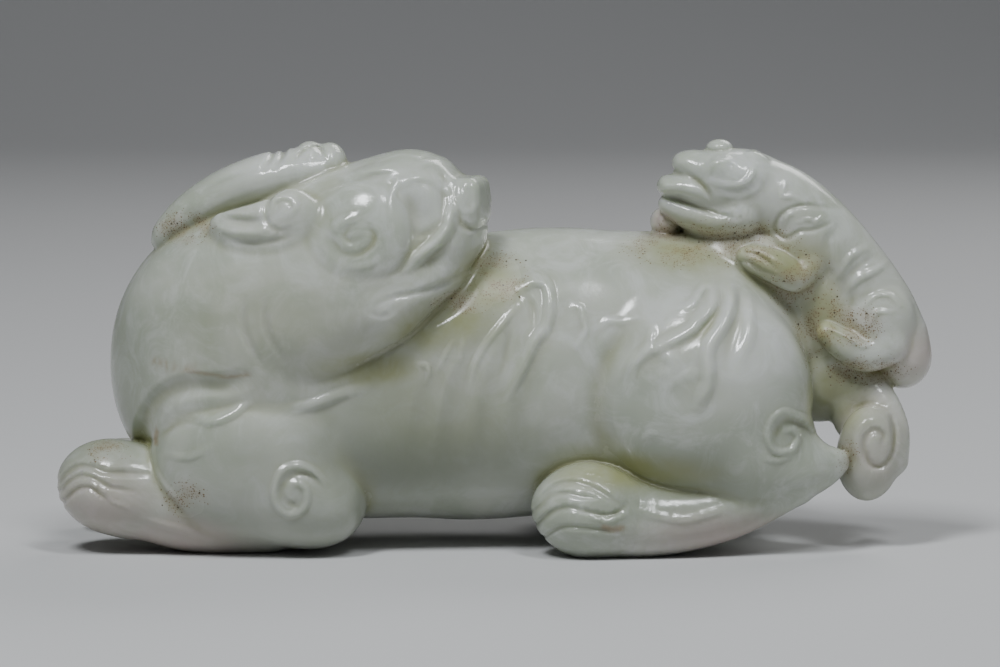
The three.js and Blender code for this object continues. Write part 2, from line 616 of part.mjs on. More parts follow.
// Thins a closed skin to a number of triangles. The edges whose loss moves the surface least go first.
function thinned({ points, faces }, target) {
  const p = Float64Array.from(points);
  const f = Int32Array.from(faces);
  const count = p.length / 3;
  const around = Array.from({ length: count }, () => []);
  f.forEach((v, i) => around[v].push((i / 3) | 0));
  const cornersOf = (t) => [f[3 * t], f[3 * t + 1], f[3 * t + 2]];
  const normal = ([a, b, c]) => {
    const ux = p[3 * b] - p[3 * a];
    const uy = p[3 * b + 1] - p[3 * a + 1];
    const uz = p[3 * b + 2] - p[3 * a + 2];
    const vx = p[3 * c] - p[3 * a];
    const vy = p[3 * c + 1] - p[3 * a + 1];
    const vz = p[3 * c + 2] - p[3 * a + 2];
    return [uy * vz - uz * vy, uz * vx - ux * vz, ux * vy - uy * vx];
  };

  // Each vertex sums the squared distances to its faces' planes, as the ten numbers of a symmetric matrix.
  const sums = new Float64Array(count * 10);
  for (let t = 0; t < f.length / 3; t++) {
    const corners = cornersOf(t);
    const n = normal(corners);
    const size = Math.hypot(...n) || 1e-12;
    const [x, y, z] = n.map((v) => v / size);
    const a = 3 * corners[0];
    const w = -(x * p[a] + y * p[a + 1] + z * p[a + 2]);
    const plane = [x * x, x * y, x * z, x * w, y * y, y * z, y * w, z * z, z * w, w * w];
    for (const v of corners) plane.forEach((number, i) => (sums[10 * v + i] += number * size));
  }
  const costAt = (q, [x, y, z]) => {
    const squares = q[0] * x * x + q[4] * y * y + q[7] * z * z + q[9];
    return squares + 2 * (q[1] * x * y + q[2] * x * z + q[3] * x + q[5] * y * z + q[6] * y + q[8] * z);
  };

  // An edge is offered with the best place for the one vertex that it would become.
  // The place is pulled slightly to the edge's middle, so that flat areas stay well shaped.
  const queue = new Queue();
  const stamp = new Int32Array(count);
  const offer = (a, b) => {
    const q = Array.from({ length: 10 }, (_, i) => sums[10 * a + i] + sums[10 * b + i]);
    const from = new THREE.Vector3().fromArray(p, 3 * a);
    const to = new THREE.Vector3().fromArray(p, 3 * b);
    const length = from.distanceTo(to);
    const middle = from.add(to).multiplyScalar(0.5);
    const pull = 1e-3 * (q[0] + q[4] + q[7]);
    const matrix = new THREE.Matrix3();
    matrix.set(q[0] + pull, q[1], q[2], q[1], q[4] + pull, q[5], q[2], q[5], q[7] + pull);
    const best = new THREE.Vector3(-q[3], -q[6], -q[8]).addScaledVector(middle, pull);
    best.applyMatrix3(matrix.invert());
    const place = (best.distanceTo(middle) > length ? middle : best).toArray();
    const cost = Math.max(0, costAt(q, place)) + 1e-5 * length * length;
    queue.add({ cost, a, b, when: stamp[a] + stamp[b], place });
  };
  const neighbours = (v) => {
    const found = new Set(around[v].flatMap(cornersOf));
    found.delete(v);
    return found;
  };
  for (let v = 0; v < count; v++) {
    for (const other of neighbours(v)) if (other > v) offer(v, other);
  }

  // A face that stays may not turn over when a vertex moves to a new place.
  const turnsOver = (v, gone, place) =>
    around[v].some((t) => {
      const corners = cornersOf(t);
      if (corners.includes(gone)) return false;
      const before = normal(corners);
      const kept = [p[3 * v], p[3 * v + 1], p[3 * v + 2]];
      p.set(place, 3 * v);
      const after = normal(corners);
      p.set(kept, 3 * v);
      const dot = before[0] * after[0] + before[1] * after[1] + before[2] * after[2];
      return dot < 0.3 * Math.hypot(...before) * Math.hypot(...after) || Math.hypot(...after) < 1e-4;
    });

  let left = f.length / 3;
  while (left > target && queue.entries.length > 0) {
    const { a, b, when, place } = queue.take();
    if (around[a].length === 0 || around[b].length === 0 || stamp[a] + stamp[b] !== when) continue;
    const beside = neighbours(b);
    const shared = [...neighbours(a)].filter((v) => beside.has(v));
    if (!beside.has(a) || shared.length !== 2) continue;
    if (turnsOver(a, b, place) || turnsOver(b, a, place)) continue;
    p.set(place, 3 * a);
    for (let i = 0; i < 10; i++) sums[10 * a + i] += sums[10 * b + i];
    for (const t of around[b]) {
      const corners = cornersOf(t);
      if (corners.includes(a)) {
        left--;
        for (const v of corners) if (v !== b) around[v] = around[v].filter((s) => s !== t);
      } else {
        f[3 * t + corners.indexOf(b)] = a;
        around[a].push(t);
      }
    }
    around[b] = [];
    stamp[a]++;
    for (const v of neighbours(a)) offer(a, v);
  }

  const keptVertices = [];
  const number = new Int32Array(count);
  for (let v = 0; v < count; v++) {
    number[v] = keptVertices.length / 3;
    if (around[v].length > 0) keptVertices.push(p[3 * v], p[3 * v + 1], p[3 * v + 2]);
  }
  const keptFaces = [...new Set(around.flat())].flatMap((t) => cornersOf(t).map((v) => number[v]));
  return { points: keptVertices, faces: keptFaces };
}

function solidOf({ points, faces }) {
  const mesh = new wasm.Mesh({
    numProp: 3,
    vertProperties: new Float32Array(points),
    triVerts: new Uint32Array(faces),
  });
  return new wasm.Manifold(mesh);
}

// The soles are ground flat on the plane z = 0.
const ground = new THREE.BoxGeometry(2 * LENGTH, 2 * DEPTH, HEIGHT).translate(0, 0, -HEIGHT / 2);
ground.deleteAttribute("normal");
ground.deleteAttribute("uv");
const block = mergeVertices(ground);
const groundSolid = solidOf({ points: block.attributes.position.array, faces: block.index.array });

const MARGIN = 3;
const low = [-LENGTH / 2 - MARGIN, -DEPTH / 2 - MARGIN, -MARGIN];
const high = [LENGTH / 2 + MARGIN, DEPTH / 2 + MARGIN, HEIGHT + MARGIN];
const stone = solidOf(thinned(skin(beast, low, high, CELL), TRIANGLES)).subtract(groundSolid).getMesh();

const geometry = new THREE.BufferGeometry();
geometry.setAttribute("position", new THREE.BufferAttribute(stone.vertProperties, 3));
geometry.setIndex(new THREE.BufferAttribute(stone.triVerts, 1));
geometry.computeBoundingBox();
const middle = geometry.boundingBox.getCenter(new THREE.Vector3());
geometry.translate(-middle.x, -middle.y, 0);
geometry.computeVertexNormals();

const jade = new THREE.MeshStandardMaterial({ color: 0xaab3a4, roughness: 0.22, metalness: 0 });
const carving = new THREE.Mesh(geometry, jade);
carving.name = "jade_beast";

const object = new THREE.Group();
object.add(carving);
export default object;
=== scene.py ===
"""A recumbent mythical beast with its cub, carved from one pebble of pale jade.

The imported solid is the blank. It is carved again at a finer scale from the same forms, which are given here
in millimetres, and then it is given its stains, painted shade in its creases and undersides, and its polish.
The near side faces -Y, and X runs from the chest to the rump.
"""

import math

import bpy
import numpy as np
from bpy.props import FloatProperty, FloatVectorProperty, IntProperty, PointerProperty
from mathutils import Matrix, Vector


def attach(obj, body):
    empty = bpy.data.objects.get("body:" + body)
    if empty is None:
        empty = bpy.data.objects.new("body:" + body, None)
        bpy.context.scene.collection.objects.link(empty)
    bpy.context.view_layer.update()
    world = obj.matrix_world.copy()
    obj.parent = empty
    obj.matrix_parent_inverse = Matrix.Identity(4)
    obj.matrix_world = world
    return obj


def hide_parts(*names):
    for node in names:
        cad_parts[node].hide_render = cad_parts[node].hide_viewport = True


bl_info = {
    "name": "Jade beast with cub",
    "version": (1, 0, 0),
    "blender": (4, 5, 0),
    "location": "3D View > Sidebar > Jade beast",
    # The stains include painted shade in the creases and on the undersides.
    "description": "Carves, stains and polishes a jade beast with its cub, and sets it on a studio stage",
    "category": "Object",
}

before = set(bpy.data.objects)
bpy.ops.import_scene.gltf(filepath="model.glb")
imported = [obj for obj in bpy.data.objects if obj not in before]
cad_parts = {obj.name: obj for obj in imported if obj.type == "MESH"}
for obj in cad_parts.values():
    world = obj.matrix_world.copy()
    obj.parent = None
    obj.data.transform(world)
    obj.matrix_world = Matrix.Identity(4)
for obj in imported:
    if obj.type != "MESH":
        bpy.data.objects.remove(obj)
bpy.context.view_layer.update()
NODE = "jade_beast"
PIECE = "carved_beast"
MM = 0.001

# Fillets between masses, and the tight one that leaves a crease, in millimetres.
TRUNK_FILLET = 9
LIMB_FILLET = 4
CREASE = 0.7
CUT_WIDTH = 0.9

# The turned head: its place, and its tilt, swing and roll in degrees.
HEAD_AT = [-16, -9.5, 44]
HEAD_TURN = [10, -12, 0]

# A form is worked out for a point only within this margin of its box, and carved only this near its surface.
BOX_MARGIN = 3
CARVED_SKIN = 4

# How the vertices settle: the side of the probe that feels a slope, and the longest move of one round.
PROBE = 0.05
LONGEST_MOVE = 0.6
FLATTEST_SLOPE = 0.05


# Forms. A form gives the rough distance of each of many points outside the stone, negative inside.


class Form:
    """A shape known by its distances, with the box that it lies in."""

    def __init__(self, distance, low, high):
        self.distance = distance
        self.low = np.array(low, float)
        self.high = np.array(high, float)

    def __call__(self, points):
        return self.distance(points)

    def reached(self, points, reach):
        """Which of the points lie within reach of the form's box."""
        return np.all((points > self.low - reach) & (points < self.high + reach), axis=1)


def turned(turn):
    """Axes, as columns, of a frame whose X is raised, then swung, and rolled about itself, in degrees."""
    tilt, yaw, roll = np.radians(turn)
    about_z = [[math.cos(yaw), -math.sin(yaw), 0], [math.sin(yaw), math.cos(yaw), 0], [0, 0, 1]]
    about_y = [[math.cos(tilt), 0, -math.sin(tilt)], [0, 1, 0], [math.sin(tilt), 0, math.cos(tilt)]]
    about_x = [[1, 0, 0], [0, math.cos(roll), -math.sin(roll)], [0, math.sin(roll), math.cos(roll)]]
    return np.array(about_z) @ np.array(about_y) @ np.array(about_x)


def mass(at, half, turn=(0, 0, 0)):
    """An egg-shaped mass with its three half-sizes."""
    at, half, axes = np.array(at, float), np.array(half, float), turned(turn)

    def distance(points):
        scaled = (points - at) @ axes / half
        k0 = np.linalg.norm(scaled, axis=1)
        k1 = np.linalg.norm(scaled / half, axis=1)
        return k0 * (k0 - 1) / np.maximum(k1, 1e-9)

    reach = np.abs(axes) @ half
    return Form(distance, at - reach, at + reach)


def spline(stations, steps):
    """Evenly numbered points on the centripetal Catmull-Rom curve through stations."""
    stations = np.array(stations, float)
    path = [2 * stations[0] - stations[1], *stations, 2 * stations[-1] - stations[-2]]
    found = [stations[0]]
    for p0, p1, p2, p3 in zip(path, path[1:], path[2:], path[3:]):
        d0, d1, d2 = (np.linalg.norm(b - a) ** 0.5 for a, b in ((p0, p1), (p1, p2), (p2, p3)))
        d1 = d1 if d1 > 1e-4 else 1.0
        d0, d2 = (d if d > 1e-4 else d1 for d in (d0, d2))
        start = ((p1 - p0) / d0 - (p2 - p0) / (d0 + d1) + (p2 - p1) / d1) * d1
        end = ((p2 - p1) / d1 - (p3 - p1) / (d1 + d2) + (p3 - p2) / d2) * d1
        for t in np.arange(1, steps + 1) / steps:
            bend = (2 * p1 - 2 * p2 + start + end) * t + (3 * p2 - 3 * p1 - 2 * start - end)
            found.append(p1 + (start + bend * t) * t)
    return np.array(found)


def smooth_line(stations, steps=6):
    """A smooth line through stations of four numbers, whose last is smoothed on its own."""
    stations = np.array(stations, float)
    return np.column_stack([spline(stations[:, :3], steps), spline(stations[:, [3, 3]], steps)[:, 0]])


def limb(stations, stretch=(1, 1, 1)):
    """A limb that swells and tapers along a smooth line through stations of [x, y, z, radius]."""
    stations, stretch = np.array(stations, float), np.array(stretch, float)
    beads = smooth_line(np.column_stack([stations[:, :3] / stretch, stations[:, 3]]))

    def distance(points):
        squeezed = points / stretch
        best = np.full(len(points), np.inf)
        for a, b in zip(beads, beads[1:]):
            edge = b[:3] - a[:3]
            off = squeezed - a[:3]
            t = np.clip(off @ edge / (edge @ edge), 0, 1)
            off -= t[:, None] * edge
            best = np.minimum(best, np.sqrt(np.einsum("ij,ij->i", off, off)) - a[3] - t * (b[3] - a[3]))
        return best * stretch.min()

    low = (beads[:, :3] - beads[:, 3:]).min(axis=0) * stretch
    high = (beads[:, :3] + beads[:, 3:]).max(axis=0) * stretch
    return Form(distance, low, high)


def joined(fillet, *forms):
    """Several forms as one, with fillets of about that width where they meet."""

    def distance(points):
        d = np.full(len(points), 1e3)
        for form in forms:
            near = form.reached(points, 1.5 * fillet + BOX_MARGIN)
            if near.any():
                a, b = d[near], form(points[near])
                h = np.maximum(fillet - np.abs(a - b), 0) / fillet
                d[near] = np.minimum(a, b) - h * h * fillet / 4
        return d

    return Form(distance, np.min([f.low for f in forms], axis=0), np.max([f.high for f in forms], axis=0))


def placed(form, at, turn):
    """A form seen in a turned frame at a place."""
    at, axes = np.array(at, float), turned(turn)
    corners = np.array(np.meshgrid(*zip(form.low, form.high))).reshape(3, -1).T @ axes.T + at
    return Form(lambda points: form((points - at) @ axes), corners.min(axis=0), corners.max(axis=0))


def both_sides(form):
    """The same form on both sides of the plane y = 0."""
    wide = max(abs(form.low[1]), abs(form.high[1]))

    def distance(points):
        return form(np.column_stack([points[:, 0], -np.abs(points[:, 1]), points[:, 2]]))

    return Form(distance, [form.low[0], -wide, form.low[2]], [form.high[0], wide, form.high[2]])


def grooved(form, lines):
    """Grooves cut into both sides of a form, each a smooth line of [x, z, half-width, depth].

    A negative depth raises a ridge.
    """
    paths = [smooth_line(line) for line in lines]

    def distance(points):
        d = form(points)
        shallow = np.abs(d) < CARVED_SKIN
        flat = points[:, [0, 2]]
        for path in paths:
            widest = path[:, 2].max()
            low, high = path[:, :2].min(axis=0) - widest, path[:, :2].max(axis=0) + widest
            near = shallow & np.all((flat > low) & (flat < high), axis=1)
            if near.any():
                d[near] += relief(flat[near], path)
        return d

    return Form(distance, form.low, form.high)


def near_only(form, lines):
    """Grooves cut into the near side of a form alone."""
    carved = grooved(form, lines)
    return Form(lambda points: np.where(points[:, 1] < 0, carved(points), form(points)), form.low, form.high)


def relief(flat, path):
    """How far one line sinks each point of the surface."""
    a, b = path[:-1], path[1:]
    edge = b[:, :2] - a[:, :2]
    off = flat[:, None] - a[:, :2]
    t = np.clip((off * edge).sum(axis=2) / (edge * edge).sum(axis=1), 0, 1)
    off -= t[:, :, None] * edge
    share = np.linalg.norm(off, axis=2) / (a[:, 2] + t * (b[:, 2] - a[:, 2]))
    nearest = share.argmin(axis=1)
    rows = np.arange(len(flat))
    depth = a[nearest, 3] + t[rows, nearest] * (b[nearest, 3] - a[nearest, 3])
    return depth * (1 - np.minimum(share[rows, nearest], 1) ** 2) ** 2


def scroll(centre, radii, angles, width, depth):
    """Stations of a scroll that winds in to its eye, by two radii and two angles in degrees."""
    share = np.linspace(0, 1, 15)
    angle = np.radians(angles[0] + (angles[1] - angles[0]) * share)
    radius = radii[0] + (radii[1] - radii[0]) * share
    x, z = centre[0] + radius * np.cos(angle), centre[1] + radius * np.sin(angle)
    return [[*at, width, depth] for at in zip(x, z)]


def cut(width, depth, *points):
    """Stations of a cut through points, which runs out at both ends."""
    ends = (0, len(points) - 1)
    return [[x, z, width, 0.3 * depth if i in ends else depth] for i, (x, z) in enumerate(points)]


def ridge(width, height, *points):
    """Stations of a raised line through points, which runs out at both ends."""
    return cut(width, -height, *points)


# The trunk: barrel, belly, chest and rump run into one another, with ribs and folds of skin on the flank.
trunk = joined(
    TRUNK_FILLET,
    mass([9, 0.5, 25.8], [38, 19, 21.2]),
    mass([-10, 0, 19.8], [24, 16, 15.4]),
    mass([-38, -1, 28.4], [19.6, 18.5, 19.7]),
    mass([-41.6, -3, 20.2], [11, 14, 9.4]),
    mass([30.5, 0.5, 25.5], [15, 17.5, 18.5]),
    mass([-24, -7, 18.6], [15, 11.2, 13], [16, 0, 0]),
    mass([-32.5, -7.4, 37.6], [17.2, 14.4, 14.2], [26, -8, 0]),
    mass([-9, -6, 33], [11, 9, 8.4], [24, 0, 0]),
)
ribbed = grooved(trunk, [
    cut(2.2, 0.3, [-6, 32.6], [-9.6, 26], [-10.8, 20], [-11, 14]),
    cut(2.4, 0.4, [0, 34], [-4.6, 27], [-6.2, 20], [-6.6, 12]),
    cut(2.4, 0.4, [5, 36], [0.4, 27], [-1.2, 20], [-1.6, 11]),
    cut(2.4, 0.3, [10, 37], [5.6, 28], [4, 20], [3.6, 14]),
    ridge(0.7, 0.3, [-11.5, 28.6], [-10, 28.2], [-9.8, 27.2], [-10.2, 25.7]),
    ridge(0.6, 0.3, [-6.3, 31.7], [-7.6, 29.4], [-8.8, 27.2]),
    ridge(0.5, 0.2, [-4.6, 32.6], [-5, 30.7], [-5.2, 28.7]),
    ridge(0.8, 0.35, [3.1, 36.7], [0.8, 34.1], [-1.9, 30.7], [-3.3, 27.9], [-4, 24.6]),
    cut(0.8, 0.2, [2.1, 35.8], [1.8, 31.7], [0.9, 27.6]),
    ridge(1.2, 0.55, [3.8, 39.3], [5.5, 40.3], [7.3, 40], [8, 37.4], [7.4, 33.9], [5.7, 31.7],
          [3.8, 27.6], [1.9, 24.1]),
    cut(1, 0.25, [4.4, 38.6], [5.4, 36.4], [5.4, 33]),
    ridge(0.7, 0.3, [11.4, 36.8], [12.3, 36.7], [12.9, 34.9], [13.2, 33.4], [11.7, 30.7]),
    ridge(0.9, 0.25, [15.4, 33.8], [16.5, 34.7], [18.8, 34.7], [21, 35.7]),
    ridge(1.3, 0.45, [-30.4, 21.9], [-27.4, 22.5], [-23.6, 23.9], [-19.3, 25.2]),
])

# The neck swings round to the near side and overlaps the trunk along a crease.
gills = [
    cut(0.9, 0.25, [-36.4, 38.5], [-36.6, 35.5], [-35.8, 32.2], [-34, 28.5]),
    cut(0.9, 0.25, [-33.1, 38.6], [-33.4, 36.2], [-32.7, 32.9], [-30.8, 29.5]),
]
neck = grooved(
    joined(
        6,
        mass([-31, -7.8, 38], [17.5, 14.6, 14.2], [26, -8, 0]),
        mass([-25.6, -10.8, 34.4], [15, 11.8, 9.6], [31, -6, 0]),
    ),
    gills,
)

# The turned head is built upright on its own centre plane, looking along its own X.
skull = joined(
    3,
    mass([-4.6, 0, 1.8], [13.5, 12.2, 12.2]),
    mass([4.1, 0, 8], [8.7, 9.4, 6.8]),
    mass([2.4, 0, -2.6], [12, 11.2, 6], [46, 0, 0]),
    mass([10, 0, 2.8], [5.3, 8, 5.2]),
    limb([[11.4, 0, -0.4, 2.3], [9, 0, -4, 3], [2, 0, -8, 3.6]], [1, 3, 1]),
)
nose = joined(
    1.2,
    limb([[13.4, -2.9, 6.6, 2.5], [13.4, 0, 6.6, 2.6], [13.4, 2.9, 6.6, 2.5]]),
    limb([[13.2, -3.2, 5.1, 2.7], [13.3, 0, 5.1, 2.8], [13.2, 3.2, 5.1, 2.7]]),
    limb([[12.9, -3.4, 3.4, 2.7], [13.1, 0, 3.4, 2.8], [12.9, 3.4, 3.4, 2.7]]),
    limb([[14.9, -3.2, 7.8, 1.2], [15, 0, 7.9, 1.2], [14.9, 3.2, 7.8, 1.2]]),
    limb([[12.4, -3.2, 8.1, 1.2], [12.4, 0, 8.2, 1.2], [12.4, 3.2, 8.1, 1.2]]),
)
eye = mass([8.2, -6.2, 6.8], [2.6, 1.9, 2.6])
face = grooved(joined(1.2, skull, nose, both_sides(eye)), [
    ridge(1, 0.45, [-2.6, 12], [1, 12.7], [3.5, 12.7], [5.6, 12.4]),
    ridge(0.8, 0.25, [8.2, 12.4], [9.9, 12.4], [11.2, 11.6], [12.2, 9.9], [12.4, 7.8]),
    ridge(0.9, 0.25, [5.8, 10], [7.3, 10.6], [9.3, 10.4], [10.9, 9.3], [11.9, 7.6], [12, 6]),
    ridge(0.8, 0.4, [5.6, 10.8], [4.8, 8.9], [4.6, 7], [4.9, 5.1]),
    cut(0.9, 0.15, [10.8, 8.9], [11.5, 6.6], [11.2, 4.4], [9.7, 2.9], [7.4, 2.4], [5.8, 3.6]),
    cut(0.8, 0.22, [15.6, 0], [14, -2.4], [11.6, -4.4], [8.8, -5.4], [5.6, -5.8], [2.7, -5.9], [0, -6.7]),
    ridge(0.9, 0.1, [14.6, -4.4], [12, -6], [8.8, -6.9], [5, -7.2]),
    ridge(1.3, 0.8, [12.2, 6], [12.2, 4.3], [11.8, 2.9], [10.4, 1.3], [8, -0.2], [5.4, -1.8]),
    ridge(0.8, 0.2, [13.5, 8.8], [13.6, 6.9], [13.9, 4.9], [15, 4.3], [15.7, 5.4], [15.6, 8]),
    cut(0.8, 0.35, [13.1, 4.3], [13.5, 2.7], [14.6, 1.8], [16, 2.4]),
    cut(0.8, 0.15, [-0.5, -5.2], [-0.9, -6.9], [0.2, -8], [1.8, -8.1], [3, -7]),
    cut(1, 0.35, [-7.8, 6.4], [-8, 3.3], [-6.5, 0.4], [-3.6, -1.7], [-0.3, -2.6], [3.2, -2.3],
        [5.4, -0.8], [6.2, 1.4]),
])
cheek = grooved(mass([-0.9, -10.5, 4], [7.2, 3.1, 7.2], [0, 0, -12]), [
    cut(0.9, 0.4, [-4.4, 4.2], [-3.7, 2.4], [-1.6, 1.2], [0.6, 1.7], [1.8, 3.2], [1.3, 4.8]),
    ridge(1.1, 0.5, [-0.6, 6.4], [-2, 6.4], [-3.4, 5.8], [-4.5, 4.6]),
    cut(0.8, 0.3, [-1.1, 5.3], [-2.4, 4.2], [-1.6, 3.2], [-0.2, 3.4]),
    ridge(0.9, 0.3, [-5.2, 6.4], [-5.9, 3.8], [-4.8, 1.2], [-2.4, -0.4], [0.4, -0.6], [2.8, 0.6]),
])
ear = grooved(
    joined(
        1,
        mass([-10.2, -10.8, 7.8], [3.6, 3.4, 4.3]),
        limb(
            [
                [-9, -11, 7, 3.6],
                [-12.6, -11.6, 6.5, 4.7],
                [-17, -11.4, 6.5, 4.2],
                [-20.8, -10.1, 7.8, 2.5],
                [-22.3, -9.5, 8.8, 1],
            ],
            [1, 0.65, 1],
        ),
    ),
    [
        cut(1.2, 0.7, [-20.8, 9.3], [-18.4, 8.8], [-16, 8.4], [-13.9, 8.2]),
        ridge(0.8, 0.4, [-21.4, 8.2], [-18.4, 7.3], [-15.4, 6.6], [-13.6, 6.9]),
        cut(0.9, 0.35, [-20.6, 7], [-18, 5.8], [-15, 5.2], [-12, 5.2], [-9.6, 5.8]),
        cut(0.8, 0.3, [-12.8, 11.2], [-13.6, 9.6], [-13.2, 7.6], [-11.6, 6.4], [-9.4, 6.6]),
        ridge(0.8, 0.35, [-12.4, 9.2], [-12.1, 10.7], [-10.8, 11.3], [-9.2, 10.8], [-8.8, 9.4], [-9.8, 8.6]),
    ],
)
throat = joined(
    2,
    joined(6, neck, placed(both_sides(face), HEAD_AT, HEAD_TURN)),
    placed(both_sides(cheek), HEAD_AT, HEAD_TURN),
)
ears = placed(both_sides(ear), HEAD_AT, HEAD_TURN)

# One horn lies back along the neck, with a two-lobed knob at its root.
horn_blade = limb(
    [
        [-26, -7.5, 56.2, 3.2],
        [-29.3, -7.5, 55.8, 3.7],
        [-33.8, -7.2, 54.8, 3.9],
        [-38.3, -6.8, 53.3, 3.7],
        [-42.8, -6.2, 51.1, 3.4],
        [-46.3, -5.6, 48.9, 2.8],
        [-49, -5.2, 46.7, 2],
        [-50.1, -5, 45.4, 1.1],
    ],
    [1, 1.5, 1],
)
knob = joined(0.8, mass([-27.4, -7.5, 57.5], [2.6, 4, 3]), mass([-24.5, -7.5, 57], [2.6, 4, 3.3]))
horn = grooved(joined(0.4, horn_blade, knob), [
    cut(0.8, 0.5, [-30.9, 61], [-31.4, 58.6], [-32.4, 57]),
    cut(0.8, 0.4, [-32.4, 60.4], [-33, 58.2], [-34, 56.8]),
    cut(0.5, 0.3, [-29.4, 58], [-28.6, 59], [-27.2, 59.7], [-25.8, 59.4], [-24.9, 58.2]),
    ridge(1.1, 0.25, [-44.4, 53.4], [-41.5, 55.1], [-38.2, 56.5], [-34.4, 57.8]),
])

# The legs of the near side, with their locks, toes and scrolled joints.
foreleg = joined(
    LIMB_FILLET,
    mass([-37, -13.6, 13.4], [13.8, 10, 12.4]),
    mass([-27, -8.5, 17.5], [12, 11.5, 12.4], [12, 0, 0]),
    mass([-28.6, -14.6, 8], [6.8, 8, 6.8]),
    mass([-24.8, -14.6, 7], [5.2, 6.6, 5], [-18, 0, 0]),
)
forearm = joined(
    2,
    limb([
        [-34, -12.6, 6.4, 6.6],
        [-44, -12.4, 6.4, 6.6],
        [-52, -12, 8.6, 6.8],
    ]),
    mass([-56.3, -11.8, 9.5], [8.7, 7.6, 7.1], [-12, 0, 0]),
)
haunch = joined(
    LIMB_FILLET,
    mass([30.4, -12.5, 23.2], [16.4, 11.5, 16.2]),
    limb([
        [38, -13.5, 13.2, 7.4],
        [43.6, -14, 12.9, 5.5],
        [47.8, -13.6, 12.9, 3.4],
        [50, -13, 13.3, 2.2],
    ]),
)
foot = joined(
    2,
    mass([13.5, -16.6, 7], [8.3, 7, 6.6]),
    limb([
        [14, -16.8, 6.3, 6.6],
        [24, -16.8, 5.3, 5.3],
        [34, -15.8, 6.6, 4.4],
        [44, -14.5, 10, 3],
    ]),
)
haunch_carved = grooved(haunch, [
    ridge(0.9, 0.45, [27.1, 36.8], [28.5, 37.3], [29.6, 38.6], [30.8, 39.8], [32, 40]),
    ridge(1.3, 0.6, [32, 39.9], [31.6, 37.3], [30.4, 36], [29.2, 34.9], [28.7, 34.2], [25.5, 32.4],
          [21.8, 30.5], [19.9, 28.7], [19.3, 26.4]),
    cut(1.2, 0.35, [33, 38.6], [31.8, 35.4], [30, 33.4], [27, 31.4]),
    ridge(1.5, 0.75, [34.1, 39.9], [34.5, 38.1], [33.8, 35.9], [32.6, 34], [31.3, 32.1], [30.8, 30.2],
          [30.9, 28.3], [30.8, 26.4], [30.2, 24.9], [29.4, 23.1]),
    cut(1.8, 0.45, [36, 38.8], [35.6, 35.6], [34.4, 32], [33.6, 28.6]),
    ridge(1.4, 0.35, [36.9, 38.3], [37, 35.5], [36.9, 32.7], [35.8, 30.4]),
    ridge(0.9, 0.4, [22.9, 34.1], [22.6, 32.6], [21.8, 30.9]),
    ridge(1.6, 0.3, [20, 32], [18.6, 29.4], [17.6, 26]),
    ridge(1.4, 0.3, [23.8, 30.8], [25.2, 30], [26.5, 28.9]),
    ridge(1.2, 0.2, [26.6, 28.6], [25.1, 27.9], [23.8, 27.1], [23, 26.3]),
    ridge(1.2, 0.2, [30.8, 27.9], [28.5, 27.7], [26.6, 26.9], [25.1, 26.2], [24, 25]),
    ridge(0.9, 0.12, [21.4, 17.3], [21.9, 18.4], [23.1, 18.6], [23.8, 17.7]),
    ridge(0.8, 0.4, [47.2, 18.4], [45.4, 20.3], [43.9, 21.2], [42, 21.8], [40.5, 20.9], [39.8, 19.4],
          [39.8, 17.9], [40.5, 16.4], [41.9, 15.8], [43.6, 16.3], [44.3, 17.8], [43.5, 19], [42.3, 18.9]),
    cut(0.8, 0.25, [46.6, 17.8], [45, 19.3], [43.4, 20.2], [41.9, 20.2], [41.1, 19], [41, 17.8]),
    ridge(0.7, 0.25, [39, 15], [41.2, 14.6], [43.9, 15.4]),
])
